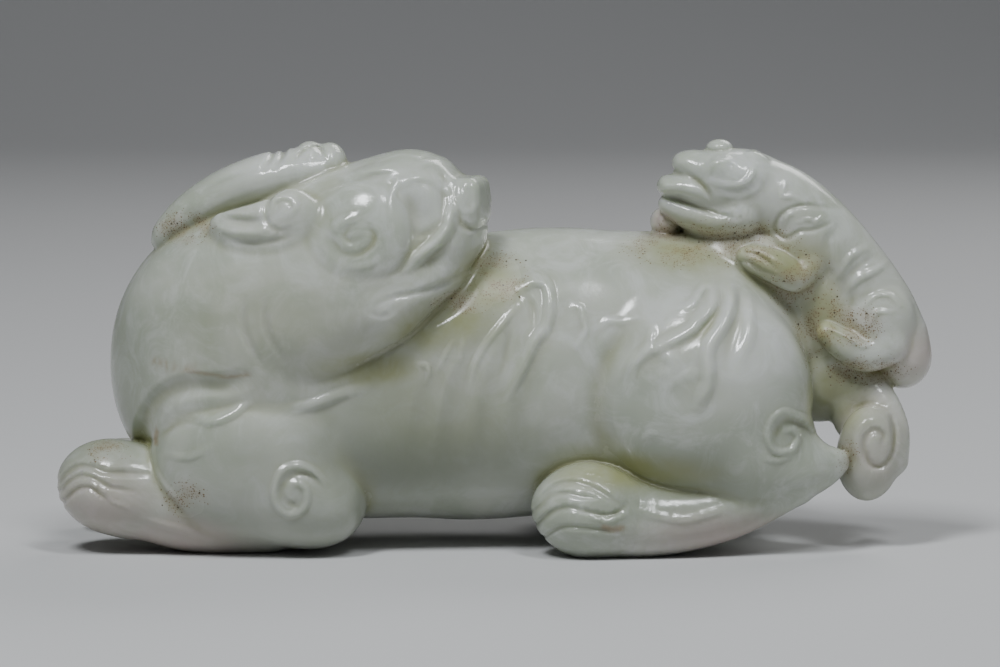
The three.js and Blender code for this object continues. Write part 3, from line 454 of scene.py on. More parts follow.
near_legs = joined(
    0.6,
    grooved(foreleg, [
        ridge(0.8, 0.4, [-24.6, 11.2], [-26, 12.8], [-27.6, 13.8], [-29.2, 14.1], [-30.8, 13.6],
              [-31.8, 12.3], [-32.3, 10.2], [-31.8, 8.1], [-30.3, 6.9], [-28.6, 7.3], [-27.5, 8.8],
              [-27.6, 10.6], [-28.6, 11.5], [-29.6, 11.3]),
        cut(0.8, 0.25, [-26, 11.6], [-27.4, 12.6], [-29, 12.8], [-30.4, 12], [-31, 10.4], [-30.4, 8.8],
            [-29.2, 8.4], [-28.7, 9.6]),
        ridge(1.1, 0.5, [-34.6, 25.2], [-36.4, 23.2], [-38.8, 21.5], [-41.5, 20.5], [-43.4, 20.8]),
        cut(1.4, 0.4, [-37.4, 24.6], [-40, 23.2], [-43, 22.6], [-45.6, 21.8]),
        cut(0.9, 0.2, [-43.8, 20.2], [-46.8, 19.6], [-48.6, 17.9], [-49.4, 15.8]),
        ridge(0.9, 0.3, [-48.3, 15.3], [-44.6, 15.3], [-41.7, 16.8]),
        ridge(0.9, 0.3, [-36.6, 26], [-40.5, 24.6], [-43.8, 24.4], [-46.8, 23.4], [-49, 21.2],
              [-50.6, 17.6], [-50.4, 13.6], [-48.4, 10.4], [-45, 7.4]),
    ]),
    grooved(forearm, [
        cut(0.7, 0.4, [-65, 10], [-63, 12.1], [-61.2, 13.2], [-59.1, 13.2], [-57.3, 12.6], [-54, 12.4],
            [-51, 12.2]),
        cut(0.6, 0.35, [-65, 8.4], [-63.3, 10.4], [-61.8, 11.6], [-60.3, 12], [-58.5, 11.5],
            [-56.2, 10.4], [-53, 10]),
        cut(0.6, 0.4, [-64.6, 6.4], [-62.7, 8.9], [-61.2, 10.1], [-59.4, 10.3], [-57.9, 9.5], [-55.6, 8.4]),
        ridge(0.6, 0.3, [-59.2, 11.1], [-57.9, 10], [-56.2, 8.6], [-54, 7.4]),
        ridge(0.9, 0.3, [-51.6, 5.6], [-48.6, 4.8], [-45.6, 4], [-42, 2.4]),
    ]),
    grooved(foot, [
        cut(0.7, 0.35, [5.8, 7.6], [7.4, 9.6], [9, 10.9], [11.2, 11.4], [13.9, 10.9], [18.4, 8.4]),
        cut(0.6, 0.35, [5.4, 6.4], [6.9, 8.1], [8.2, 9.5], [10, 10], [12.8, 9.6], [14.8, 9.6]),
        cut(0.7, 0.4, [5.6, 4.4], [7.2, 6.3], [9, 7.6], [10.9, 8], [13, 7.6], [15.8, 7], [17.8, 7.3],
            [19.1, 8.4]),
        cut(0.6, 0.35, [6.6, 2.4], [8.2, 4.2], [10, 5.2], [12.8, 5.2], [15.8, 4.8], [17.6, 4.4]),
        ridge(0.7, 0.3, [13.8, 6.8], [16.5, 6.2], [19, 7]),
        ridge(1, 0.3, [20.6, 7.4], [25.5, 6.2], [28.1, 6], [31, 6.7], [34.4, 7.6]),
    ]),
)

# The legs of the far side are plainer, and set a little further in.
far_foot = grooved(
    joined(
        2,
        mass([16, 15.5, 6], [8, 7, 6.6]),
        limb([
            [17, 15.5, 6, 6.2],
            [30, 15, 5.2, 5],
            [40, 13, 8, 3],
        ]),
    ),
    [
        cut(CUT_WIDTH, 0.5, [7.6, 7.6], [9.6, 10.2], [13, 11], [17, 9.8]),
        cut(CUT_WIDTH, 0.5, [7.4, 5.4], [9.8, 7.6], [13.8, 7.8], [18, 6.8]),
        cut(0.8, 0.45, [8.2, 3.2], [11, 4.8], [15, 4.8], [17.6, 4]),
    ],
)
far_haunch = grooved(
    joined(5, mass([30, 12.5, 22.6], [14.6, 11.5, 16]), mass([38, 12.5, 11], [6.6, 6, 5.6])),
    [
        ridge(1.1, 0.5, [33.8, 38], [33.2, 34], [31.4, 29.6], [30.8, 25]),
        ridge(1, 0.4, [31, 37.6], [28.4, 33.6], [24, 31]),
        scroll([38.6, 13.4], [3.6, 2], [30, 330], 0.8, 0.4),
    ],
)
far_paw = grooved(mass([-56.4, 9.6, 7.4], [8, 8, 6.6], [-6, 0, 0]), [
    cut(CUT_WIDTH, 0.5, [-64.6, 9], [-61.8, 11.8], [-58, 12.4], [-52, 11.4]),
    cut(CUT_WIDTH, 0.5, [-65, 6.6], [-62, 9.4], [-58.4, 9.6], [-54.5, 8.2]),
    cut(0.8, 0.45, [-64.4, 4.2], [-61, 6.6], [-57.6, 6.8], [-55, 5.6]),
])
far_foreleg = grooved(
    joined(
        3,
        mass([-37.6, 13, 13.6], [12.6, 10, 12]),
        limb([
            [-28, 13.5, 6.2, 6.7],
            [-42, 13, 6, 6.6],
            [-52, 11.5, 7.2, 6.4],
        ]),
    ),
    [
        ridge(1.3, 0.4, [-33, 24], [-37.2, 21.8], [-43, 20.6]),
        ridge(1, 0.35, [-46.4, 16], [-42.6, 15.6], [-40, 17]),
        scroll([-30, 10], [4, 2.2], [40, 380], 0.8, 0.4),
    ],
)
far_legs = joined(0.8, far_foot, far_paw, far_foreleg)

# The tail: a root from the rump, rolled into a solid scroll that touches the hock and leaves a small eyelet.
tail = grooved(
    joined(
        1.4,
        mass([48.4, -2, 24.4], [6.8, 5.6, 6.4]),
        mass([53.1, -4.6, 20.2], [3, 3, 4.8]),
        limb([
            [50, -1, 27, 5.4],
            [56.2, -5.5, 22.6, 3],
            [59.2, -8, 17.5, 2.3],
            [59.4, -8.4, 13, 2],
        ]),
        mass([55.4, -8.6, 13.8], [4.8, 4.4, 6.8], [-4, 0, 0]),
        mass([55.4, -10.2, 17], [3.8, 3, 4.2]),
    ),
    [
        cut(0.8, 0.5, [58.6, 19.6], [59, 17.4], [58.6, 14.6], [57.3, 12.8], [55.6, 12.9], [54.5, 14.9],
            [54.7, 17.1], [56, 18.1], [57.2, 17.3], [57, 15.9]),
        ridge(0.8, 0.25, [53.2, 14.4], [53.2, 17.4], [54.6, 19.4], [56.4, 19.8]),
    ],
)

# The cub: it climbs over the rump, and stone is left between the two.
saddle = limb([
    [31, -1.4, 43.6, 3.6],
    [37, -2, 43.2, 6],
    [46, -1, 39.8, 7.2],
    [51, -1, 33, 7.6],
    [52.6, -1, 27.5, 6],
])
cub_head = grooved(
    joined(
        0.8,
        mass([35.6, -3, 54], [8.2, 6.2, 5]),
        limb([[30, -3, 56.2, 2.6], [33.6, -3, 55.7, 3.4], [37.4, -3, 55, 3.7]], [1, 1.7, 1]),
        mass([28.6, -3, 57], [2.4, 3.6, 1.8]),
        limb([
            [25.6, -3, 53.6, 1.6],
            [27.6, -3, 53.6, 1.9],
            [30, -3, 53.1, 2.2],
            [33, -3, 51.8, 2],
        ], [1, 2.4, 1]),
        limb([
            [25.9, -3, 50.8, 1.7],
            [29, -3, 49.6, 2.6],
            [32.5, -3, 48.8, 3.2],
            [36.5, -3, 49.6, 4],
        ], [1, 1.6, 1]),
        mass([33.3, -8.2, 56.6], [1.2, 0.7, 1]),
        mass([33.3, 2.2, 56.6], [1.2, 0.7, 1]),
        mass([38.8, -5.6, 57.7], [1.6, 1, 0.9], [-24, 0, 0]),
        mass([38.8, -0.4, 57.7], [1.6, 1, 0.9], [-24, 0, 0]),
    ),
    [
        cut(0.6, 0.25, [24, 52.2], [27, 51.5], [30.8, 50.3], [33.4, 49.6], [36, 49.2]),
        cut(0.7, 0.4, [28.6, 55.4], [30, 54.5], [31.3, 53.2], [32, 51.8]),
        ridge(0.7, 0.2, [30.9, 55.6], [31.8, 57.1], [33.3, 57.8], [34.9, 57.7], [36.2, 56.6]),
        ridge(0.8, 0.25, [31.8, 54.6], [34, 54.1], [36.1, 54.2], [37.6, 55.3], [38.2, 57.2]),
        ridge(0.7, 0.15, [33, 52.6], [36, 52.3], [38.6, 53.4], [39.8, 55.6]),
        cut(0.4, 0.3, [36.3, 50.6], [36.1, 49.2]),
        cut(0.4, 0.3, [37.5, 50.8], [37.4, 49.6]),
    ],
)
button = mass([33.3, -3, 59.2], [2, 2.2, 1.3])
cub_body = grooved(
    joined(
        1,
        limb([
            [37, -3, 52.8, 5.8],
            [42.6, -3, 50.8, 5.8],
            [48, -3, 46.4, 5.8],
            [52.8, -3, 41.3, 5.5],
            [56.6, -3, 35.8, 5.6],
            [59.4, -3, 31, 5.2],
        ]),
        mass([60.8, -3, 28.1], [4.4, 5.4, 4.9]),
    ),
    [
        ridge(0.7, 0.25, [43, 54.6], [42.4, 52.5], [43.9, 52.4], [45.8, 51.3]),
        cut(1, 0.3, [50.6, 47.6], [49, 45.8], [48.2, 43.4]),
        ridge(0.9, 0.4, [55.2, 44.7], [53.2, 43.9], [52, 42.7], [50.4, 40]),
        cut(0.8, 0.2, [56.6, 43.4], [54.4, 42.4], [52.4, 40.6], [51.4, 38.6]),
        ridge(0.9, 0.4, [57.8, 42.1], [55.9, 41.2], [53.5, 40], [52.2, 38.4]),
    ],
)
cub_legs = grooved(
    joined(
        1.2,
        mass([45.8, -5.4, 45], [5.2, 3.6, 6.4], [8, 0, 0]),
        limb([
            [46.4, -7.4, 41.6, 2.2],
            [44.6, -8.6, 40.4, 2.2],
            [41.6, -9, 41.8, 2.4],
            [38.8, -9, 43.1, 2.2],
            [37, -8.8, 43.6, 1.3],
        ]),
        mass([57, -6, 33.6], [5.4, 4, 5.8]),
        limb([
            [58.6, -7.4, 30, 2.8],
            [55, -8.4, 28.9, 2.6],
            [51.7, -8.8, 30.2, 2.3],
            [49.2, -8.8, 32, 1.7],
        ]),
        mass([25.4, 0, 48], [2.3, 3, 2.2]),
    ),
    [
        cut(0.5, 0.35, [36.4, 44.2], [38.5, 43.9], [40.2, 42.9], [41.4, 41.9]),
        cut(0.5, 0.35, [35.8, 42.9], [37.4, 42.8], [38.7, 41.9], [41.2, 40.9]),
        cut(0.4, 0.25, [24.4, 49.4], [24.2, 47.8], [25, 46.6]),
        ridge(0.6, 0.35, [53.3, 36.6], [54.1, 38.3], [55.6, 38.9]),
        ridge(0.6, 0.35, [54.5, 36.2], [56.2, 37.7], [58.6, 37.7], [60, 36.2]),
        ridge(0.6, 0.35, [55.4, 33.6], [56.4, 35.3], [58.8, 35.3]),
        ridge(0.6, 0.35, [49.6, 32.9], [51.8, 31.9], [54.1, 30.4], [55.6, 30.6]),
    ],
)
flank_curl = [
    cut(0.6, 0.35, [49.2, 50.6], [45.8, 51], [43.6, 50.6], [41.9, 49.4], [41.4, 47.5], [42.9, 46.1],
        [44.9, 47.2], [47.2, 47.5], [49.6, 48.4]),
    ridge(0.5, 0.25, [44.3, 50], [43, 49.4], [42.7, 47.8]),
    ridge(0.5, 0.25, [44.4, 48.5], [45.8, 48.9], [47.5, 48.8], [48.4, 49.4]),
]
cub = joined(0.2, grooved(joined(0.6, cub_head, cub_body, cub_legs), flank_curl), button)

# The haunches swell out of the trunk, and the head and the shoulder lie over it along sunk edges.
loins = joined(2.5, ribbed, haunch_carved, far_haunch)
flank = near_only(loins, [
    cut(2.4, 0.5, [-3, 41.4], [-6.2, 37.6], [-10.8, 34.8], [-16.2, 31.8], [-22.6, 28.8], [-29, 26.4]),
    *gills,
    cut(2.2, 0.8, [-36.8, 26.6], [-40, 25.8], [-44, 25.6], [-47.4, 24.6], [-49.8, 22.6], [-51.4, 19.4],
        [-52, 16], [-51.4, 12.8], [-49.8, 10.4]),
    cut(2.4, 0.6, [19.8, 33.6], [17.6, 30.9], [15.7, 27.1], [15, 23.3], [15.1, 19.9], [16.1, 16.6],
        [18.4, 14.2]),
])
body = joined(CREASE, flank, throat)
beast = joined(CREASE, joined(2, body, saddle), ears, horn, near_legs, far_legs, tail, cub)


# Carving. The blank's vertices settle on the forms, and each keeps what the polish, the stains and the
# painted shade need to know.


def slope(points, form, probe=PROBE):
    """The distance and its gradient at each point, from four points around it."""
    corners = np.array([[1, -1, -1], [-1, -1, 1], [-1, 1, -1], [1, 1, 1]], float)
    values = np.array([form(points + probe * corner) for corner in corners])
    return values.mean(axis=0), values.T @ corners / (4 * probe)


def settled(points, form, rounds):
    """The points moved along the gradient until they lie on the form's surface."""
    for _ in range(rounds):
        d, gradient = slope(points, form)
        steepness = np.maximum((gradient**2).sum(axis=1), FLATTEST_SLOPE)
        move = -(d / steepness)[:, None] * gradient
        length = np.linalg.norm(move, axis=1, keepdims=True)
        points = points + move * np.minimum(1, LONGEST_MOVE / np.maximum(length, 1e-9))
    return points


def hollowness(points, form, reach):
    """How strongly the surface folds inwards around each point, from 0 to 1."""
    middle = form(points)
    around = sum(form(points + reach * way) for way in [*np.eye(3), *-np.eye(3)])
    return np.clip((6 * middle - around) / (2.4 * reach), 0, 1)


def patch(points, at, radii, softness):
    """A soft-edged patch around a place, from 0 to 1."""
    share = np.clip((1 - np.linalg.norm((points - at) / radii, axis=1)) / softness, 0, 1)
    return share * share * (3 - 2 * share)


def line_patch(points, width, *stations):
    """A soft line on the near side, through places seen from the side."""
    path = smooth_line([[x, z, width, 1] for x, z in stations])
    near = points[:, 1] < 0
    mask = np.zeros(len(points))
    mask[near] = relief(points[near][:, [0, 2]], path)
    return mask


# Patches of tint, stain and painted shade: centre and radii in millimetres, and strength.
BLUSH = [
    ([-57, -12, 8], [13, 14, 9], 1),
    ([-45, -12, 3], [16, 14, 7], 1),
    ([-56, 9, 8], [11, 12, 9], 1),
    ([56, -8, 15], [8, 8, 11], 1),
    ([61, -4, 28], [8, 8, 7], 1),
    ([25.5, -2, 48], [4, 5, 4], 1),
    ([28, -17, 4], [22, 8, 5], 1),
]
# Olive stain around the recesses and over the neck and flank, which also paints their shade darker.
MOSS_AND_SHADE = [
    ([-8, -17, 34], [13, 12, 6], 1),
    ([-20, -18, 28], [14, 12, 4], 1),
    ([-1, -15, 40], [8, 12, 7], 1),
    ([30, -12, 45], [16, 18, 6], 1),
    ([43, -12, 43], [11, 16, 5], 1),
    ([48.6, -12, 34], [6, 16, 12], 1),
    ([50, -12, 23], [8, 16, 8], 1),
    ([20, -20, 13], [18, 12, 4], 1),
    ([-60, -6, 16], [6, 10, 6], 1),
    ([-24, -14, 52], [4, 6, 5], 1),
    ([-32, -18, 33], [24, 14, 14], 0.36),
    ([-6, -19, 24], [20, 12, 16], 0.25),
]
# Painted shade: darker jade on the belly, the lower limbs, the heel, the neck and the back of the jaw.
SHADE = [
    ([-12, -19, 14], [32, 16, 20], 1),
    ([-26, -20, 8], [16, 12, 12], 0.7),
    ([-54, -8, 24], [14, 16, 15], 0.6),
    ([-38, -20, 14], [15, 12, 12], 0.6),
    ([-42, -20, 4], [18, 12, 8], 0.8),
    ([-57, -12, 14], [13, 13, 9], 0.7),
    ([26, -22, 11], [19, 12, 9], 0.8),
    ([34, -20, 4], [15, 12, 6], 0.8),
    ([-24, -16, 34], [20, 12, 12], 0.3),
    ([-10, -15, 33], [12, 10, 9], 0.5),
]
MILK = [
    ([37, -20, 32], [13, 12, 13], 1),
    ([36, -6, 55], [14, 10, 9], 1),
    ([-12, -16, 52], [14, 10, 9], 1),
    ([-30, -10, 56], [16, 8, 8], 1),
]
GRIME = [
    ([27, -12, 45.5], [10, 18, 4], 1),
    ([37, -12, 45.4], [10, 18, 4], 1),
    ([45, -12, 40], [6, 16, 6], 1),
    ([48, -12, 33.4], [4.4, 16, 9], 1),
    ([53, -11, 33.5], [5.6, 10, 4], 1),
    ([55, -11, 26.4], [9, 12, 3], 1),
    ([52, -13, 14], [2.2, 7, 3.4], 0.8),
    ([0.5, -15, 41], [5, 12, 5], 1),
    ([-4, -19, 37.5], [7, 9, 2.4], 1),
    ([-57, -14, 15], [4, 6, 2.2], 1),
    ([-45, -19, 9], [4.4, 8, 4], 1),
    ([-45, -10, 47.8], [8, 10, 3], 1),
]


# Masks kept on each vertex: the hollows measure the folds, and the shade and olive masks mark where shade is
# painted.
MASKS = ("fine_hollow", "broad_hollow", "blush", "moss", "milk", "shade", "grime", "crack")

# Cracks on the near side: strength, half-width, and places seen from the side.
CRACKS = [
    (0.7, 0.55, [(-50.2, 28.8), (-45.8, 27.9), (-42, 27.3), (-39, 26.9), (-36, 27.3)]),
    (1, 0.6, [(-49.8, 18.2), (-50, 17.4), (-49.9, 16.6)]),
    (1, 0.8, [(15.8, 5.2), (17.2, 4.8), (18.4, 5)]),
]


def spotted(points, spots, softness):
    """The strongest of the patches at each point."""
    return np.max([strength * patch(points, at, radii, softness) for at, radii, strength in spots], axis=0)


def stain_and_shade_masks(points, form):
    """The masks of each vertex, by attribute name."""
    return {
        "fine_hollow": hollowness(points, form, 0.6),
        "broad_hollow": hollowness(points, form, 2.4),
        "blush": spotted(points, BLUSH, 0.7),
        "moss": spotted(points, MOSS_AND_SHADE, 0.8),
        "milk": spotted(points, MILK, 0.8),
        "shade": spotted(points, SHADE, 0.9),
        "grime": spotted(points, GRIME, 0.6),
        "crack": sum(strength * line_patch(points, width, *stations) for strength, width, stations in CRACKS),
    }


def only(piece):
    """Leaves one object selected and active."""
    bpy.ops.object.select_all(action="DESELECT")
    piece.select_set(True)
    bpy.context.view_layer.objects.active = piece


def places(mesh):
    """A mesh's vertices, in millimetres."""
    found = np.empty(len(mesh.vertices) * 3, np.float32)
    mesh.vertices.foreach_get("co", found)
    return found.reshape(-1, 3).astype(float) / MM


def put(mesh, points):
    """Moves a mesh's vertices to points in millimetres."""
    mesh.vertices.foreach_set("co", (points * MM).astype(np.float32).ravel())
    mesh.update()


def applied(piece, kind, **values):
    """Adds a modifier with its values and applies it."""
    only(piece)
    modifier = piece.modifiers.new(kind.title(), kind)
    for name, value in values.items():
        setattr(modifier, name, value)
    bpy.ops.object.modifier_apply(modifier=modifier.name)


# Materials


def nodes_for(tree):
    """A function that adds a node to a tree, sets its properties and inputs, and returns it."""

    def add(kind, inputs=(), **properties):
        node = tree.nodes.new(kind)
        for name, value in properties.items():
            setattr(node, name, value)
        for name, value in dict(inputs).items():
            socket = node.inputs[name]
            if isinstance(value, bpy.types.NodeSocket):
                tree.links.new(value, socket)
            else:
                socket.default_value = value
        return node

    return add


def mixed(add, share, first, second):
    """The colour between two, by a share."""
    node = add("ShaderNodeMix", data_type="RGBA", clamp_factor=True)
    tree = node.id_data
    for socket, value in zip([node.inputs[0], node.inputs[6], node.inputs[7]], [share, first, second]):
        if isinstance(value, bpy.types.NodeSocket):
            tree.links.new(value, socket)
        else:
            socket.default_value = value if isinstance(value, float) else [*value][:3] + [1]
    return node.outputs[2]


def maths(add, operation, *values):
    """The result of one operation on values or on what other nodes give."""
    node = add("ShaderNodeMath", operation=operation)
    for socket, value in zip(node.inputs, values):
        if isinstance(value, bpy.types.NodeSocket):
            node.id_data.links.new(value, socket)
        else:
            socket.default_value = value
    return node.outputs[0]


def ranged(add, value, low, high, to_low=0.0, to_high=1.0):
    """A value carried softly from one range to another."""
    ends = {"From Min": low, "From Max": high, "To Min": to_low, "To Max": to_high}
    return add("ShaderNodeMapRange", {"Value": value, **ends}, interpolation_type="SMOOTHSTEP").outputs[0]


def specks(add, at, scale, share):
    """Round specks scattered over a share of the cells."""
    cells = add("ShaderNodeTexVoronoi", {"Vector": at, "Scale": scale})
    chance = add("ShaderNodeSeparateColor", {"Color": cells.outputs["Color"]}).outputs["Red"]
    spot = ranged(add, cells.outputs["Distance"], 0.2, 0.42, 1.0, 0.0)
    return maths(add, "MULTIPLY", spot, maths(add, "LESS_THAN", chance, share))


def clouded_and_shaded(add, noise, patchy, mask, look):
    """The stone: pale with greener clouds, white wisps and milky places, and darker with painted shade on its
    belly, lower limbs and neck.
    """
    clouds = ranged(add, noise(38, 4, 0.55, 0.6), 0.38, 0.62)
    wisps = ranged(add, noise(150, 8, 0.68, 1.2), 0.42, 0.7)
    colour = mixed(add, clouds, look.pale, look.green)
    milk = maths(add, "MULTIPLY", mask["milk"], maths(add, "MULTIPLY_ADD", wisps, 0.4, 0.4))
    white = maths(add, "MAXIMUM", milk, maths(add, "MULTIPLY", wisps, 0.45))
    colour = mixed(add, white, colour, look.white)
    # Painted shade: a darker colour is mixed in where the SHADE patches lie.
    shade = maths(add, "MULTIPLY", mask["shade"], maths(add, "MULTIPLY_ADD", patchy, 0.2, 0.75))
    return mixed(add, shade, colour, look.shade_colour)


def stained_and_shaded(add, patchy, mask, hollow, look, colour):
    """Pinkish blush on the limbs, and olive stain in the hollows, which also paints shade into the creases.
    """
    blush = maths(add, "MULTIPLY", mask["blush"], maths(add, "MULTIPLY_ADD", patchy, 0.5, 0.5))
    colour = mixed(add, maths(add, "MULTIPLY", blush, 0.8), colour, look.blush)
    # Olive stain in its patches and in the hollows; in the creases it is also painted shade.
    moss = maths(add, "MULTIPLY", mask["moss"], maths(add, "MULTIPLY_ADD", patchy, 0.5, 0.45))
    moss = maths(add, "MAXIMUM", maths(add, "MULTIPLY", moss, 0.9), maths(add, "MINIMUM", hollow, 0.85))
    return mixed(add, moss, colour, look.moss)


def soiled(add, at, noise, mask, look, colour):
    """Rust and brown specks where grime has gathered, and rust along the cracks."""
    dirty = maths(add, "MULTIPLY", mask["grime"], ranged(add, noise(260, 3, 0.6), 0.34, 0.6))
    colour = mixed(add, maths(add, "MULTIPLY", dirty, 0.3), colour, look.rust)
    for scale, share, speck in ((4200, 1.0, look.specks), (2600, 0.4, look.specks), (2100, 0.1, look.grime)):
        colour = mixed(add, specks(add, at, scale, maths(add, "MULTIPLY", dirty, share)), colour, speck)
    return mixed(add, maths(add, "MULTIPLY", mask["crack"], 0.6), colour, look.rust)


def jade_material(look):
    """Polished jade: with greener clouds, a blush, olive stain in its recesses that also paints their shade,
    painted shade on its undersides, and specks of grime.
    """
    material = bpy.data.materials.new("polished_jade")
    material.use_nodes = True
    material.node_tree.nodes.clear()
    add = nodes_for(material.node_tree)
    at = add("ShaderNodeTexCoord").outputs["Object"]
    mask = {name: add("ShaderNodeAttribute", attribute_name=name).outputs["Fac"] for name in MASKS}

    def noise(scale, detail=3.0, roughness=0.5, distortion=0.0):
        """Noise all through the stone, its scale in cells a metre."""
        values = {"Scale": scale, "Detail": detail, "Roughness": roughness, "Distortion": distortion}
        return add("ShaderNodeTexNoise", {"Vector": at, **values}).outputs["Fac"]

    # How hollow each place is: it lays the olive stain and painted shade into the creases, and dulls the
    # polish there.
    folds = maths(add, "ADD", maths(add, "MULTIPLY", mask["fine_hollow"], 0.5), mask["broad_hollow"])
    hollow = maths(add, "MULTIPLY", folds, 0.8)
    patchy = ranged(add, noise(90, 4, 0.6), 0.3, 0.62)
    colour = clouded_and_shaded(add, noise, patchy, mask, look)
    colour = stained_and_shaded(add, patchy, mask, hollow, look, colour)
    colour = soiled(add, at, noise, mask, look, colour)
    polish = ranged(add, noise(200, 4, 0.6), 0.3, 0.7, look.gloss - 0.04, look.gloss + 0.05)
    dull = maths(add, "MULTIPLY", maths(add, "MAXIMUM", hollow, mask["grime"]), 0.22)
    grain = maths(add, "MULTIPLY", noise(2600, 2, 0.6), 0.25)
    height = maths(add, "ADD", grain, maths(add, "MULTIPLY", noise(700, 3, 0.5), 0.6))
    bump = add("ShaderNodeBump", {"Strength": 0.35, "Distance": 0.00012, "Height": height})
    shader = add("ShaderNodeBsdfPrincipled", {
        "Base Color": colour,
        "Roughness": maths(add, "ADD", polish, dull),
        "IOR": 1.62,
        "Subsurface Weight": look.glow,
        "Subsurface Radius": (0.9, 1.0, 0.75),
        "Subsurface Scale": look.depth * MM,
        "Normal": bump.outputs["Normal"],
    })
    add("ShaderNodeOutputMaterial", {"Surface": shader.outputs["BSDF"]})
    return material


def paper_material(colour):
    """Matt studio paper with a faint grain."""
    material = bpy.data.materials.new("studio_paper")
    material.use_nodes = True
    shader = material.node_tree.nodes["Principled BSDF"]
    add = nodes_for(material.node_tree)
    at = add("ShaderNodeTexCoord").outputs["Object"]
    fibres = add("ShaderNodeTexNoise", {"Vector": at, "Scale": 900.0, "Detail": 3.0}).outputs["Fac"]
    tint = mixed(add, maths(add, "MULTIPLY", fibres, 0.06), colour, [0.9 * c for c in colour])
    material.node_tree.links.new(tint, shader.inputs["Base Color"])
    shader.inputs["Roughness"].default_value = 0.85
    return material


# Settings


class BeastSizes(bpy.types.PropertyGroup):
    """How finely the stone is carved"""

    grain: FloatProperty(
        name="Grain", description="Cell of the blank that is carved", default=0.00036, min=0.0002, max=0.002,
        precision=5, subtype="DISTANCE", unit="LENGTH",
    )
    triangles: IntProperty(
        name="Triangles", description="Most triangles of the carved stone", default=196000, min=20000,
        max=199000,
    )


def tint(name, description, colour):
    """A colour that a user may change."""
    return FloatVectorProperty(
        name=name, description=description, default=colour, subtype="COLOR", min=0, max=1,
    )


class JadeLook(bpy.types.PropertyGroup):
    """Tints and polish of the stone"""

    pale: tint("Pale jade", "Main colour of the stone", (0.545, 0.565, 0.50))
    green: tint("Green clouds", "Colour of the greener clouds", (0.42, 0.455, 0.375))
    # Painted shade: the colour mixed in on the belly, the lower limbs and the neck, where the stone lies in
    # shade.
    shade_colour: tint("Deep jade", "Colour where the stone is thick and in shade", (0.25, 0.275, 0.21))
    white: tint("White wisps", "Colour of the whiter wisps", (0.71, 0.73, 0.72))
    blush: tint("Blush", "Pinkish brown of the paws and tail", (0.55, 0.46, 0.43))
    # The olive tint is a real stain, and in the creases it also stands in for their shade.
    moss: tint("Moss stain", "Olive stain in the recesses", (0.30, 0.31, 0.13))
    rust: tint("Rust stain", "Orange-brown stain along cracks", (0.30, 0.19, 0.08))
    specks: tint("Specks", "Brown specks in the recesses", (0.19, 0.125, 0.05))
    grime: tint("Grime", "Dark specks in the recesses", (0.07, 0.05, 0.025))
    gloss: FloatProperty(
        name="Roughness", description="Roughness of the polish", default=0.16, min=0.05, max=0.8,
    )
    glow: FloatProperty(
        name="Glow", description="Share of light that goes into the stone", default=0.7, min=0, max=1,
        subtype="FACTOR",
    )
    depth: FloatProperty(
        name="Depth of glow", description="Millimetres that light travels in the stone", default=2.4, min=0.1,
        max=20,
    )


def power(name, description, watts):
    """A light's power that a user may change."""
    return FloatProperty(name=name, description=description, default=watts, min=0)


class StageLook(bpy.types.PropertyGroup):
    """The paper and the power of the lights"""

    paper: tint("Paper", "Colour of the floor", (0.55, 0.55, 0.55))
    width: FloatProperty(
        name="Width", description="Width of the paper", default=3.0, subtype="DISTANCE", unit="LENGTH",
    )
    key: power("Key light", "Power of the soft light above", 5.8)
    side: power("Side light", "Power of the second light above", 3.0)
    fill: power("Fill light", "Power of the soft light in front", 0.2)
    rim: power("Back light", "Power of the light behind", 2.0)
    air: power("Room light", "Strength of the light all round", 0.07)


# The stage, in metres: each light's place, its width and height, and its colour.
COOL, WHITE = (0.94, 0.97, 1), (1, 1, 1)
LIGHTS = {
    "key": ((-0.24, -0.4, 0.8), (0.18, 0.3), COOL),
    "side": ((0.26, -0.36, 0.8), (0.14, 0.3), COOL),
    "fill": ((0.7, -0.9, 0.35), (0.8, 0.6), WHITE),
    "rim": ((0.35, 0.55, 0.6), (0.5, 0.3), WHITE),
}
AIR_COLOUR = (0.8, 0.82, 0.86, 1)
PIECE_MIDDLE = (0, 0, 0.03)

# The camera of the photograph: what it looks at in millimetres, its rise in degrees, its distance in metres,
# and its lens and sensor in millimetres.
CAMERA_TARGET = (0.49, 0, 31.14)
CAMERA_RISE = 6
CAMERA_DISTANCE = 0.7
CAMERA_LENS = 168
CAMERA_SENSOR = 36


# Operators


class JADE_OT_rough_out(bpy.types.Operator):
    """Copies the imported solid, merges it and cuts it into even cells"""

    bl_idname = "jade.rough_out"
    bl_label = "Rough out the blank"

    def execute(self, context):
        bpy.ops.object.select_all(action="DESELECT")
        blank = bpy.data.objects.new(PIECE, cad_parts[NODE].data.copy())
        blank.data.name = PIECE
        blank.data.materials.clear()
        context.scene.collection.objects.link(blank)
        only(blank)
        bpy.ops.object.mode_set(mode="EDIT")
        bpy.ops.mesh.select_all(action="SELECT")
        bpy.ops.mesh.remove_doubles(threshold=1e-6)
        bpy.ops.object.mode_set(mode="OBJECT")
        applied(blank, "REMESH", mode="VOXEL", voxel_size=context.scene.beast_sizes.grain, adaptivity=0.0)
        return {"FINISHED"}


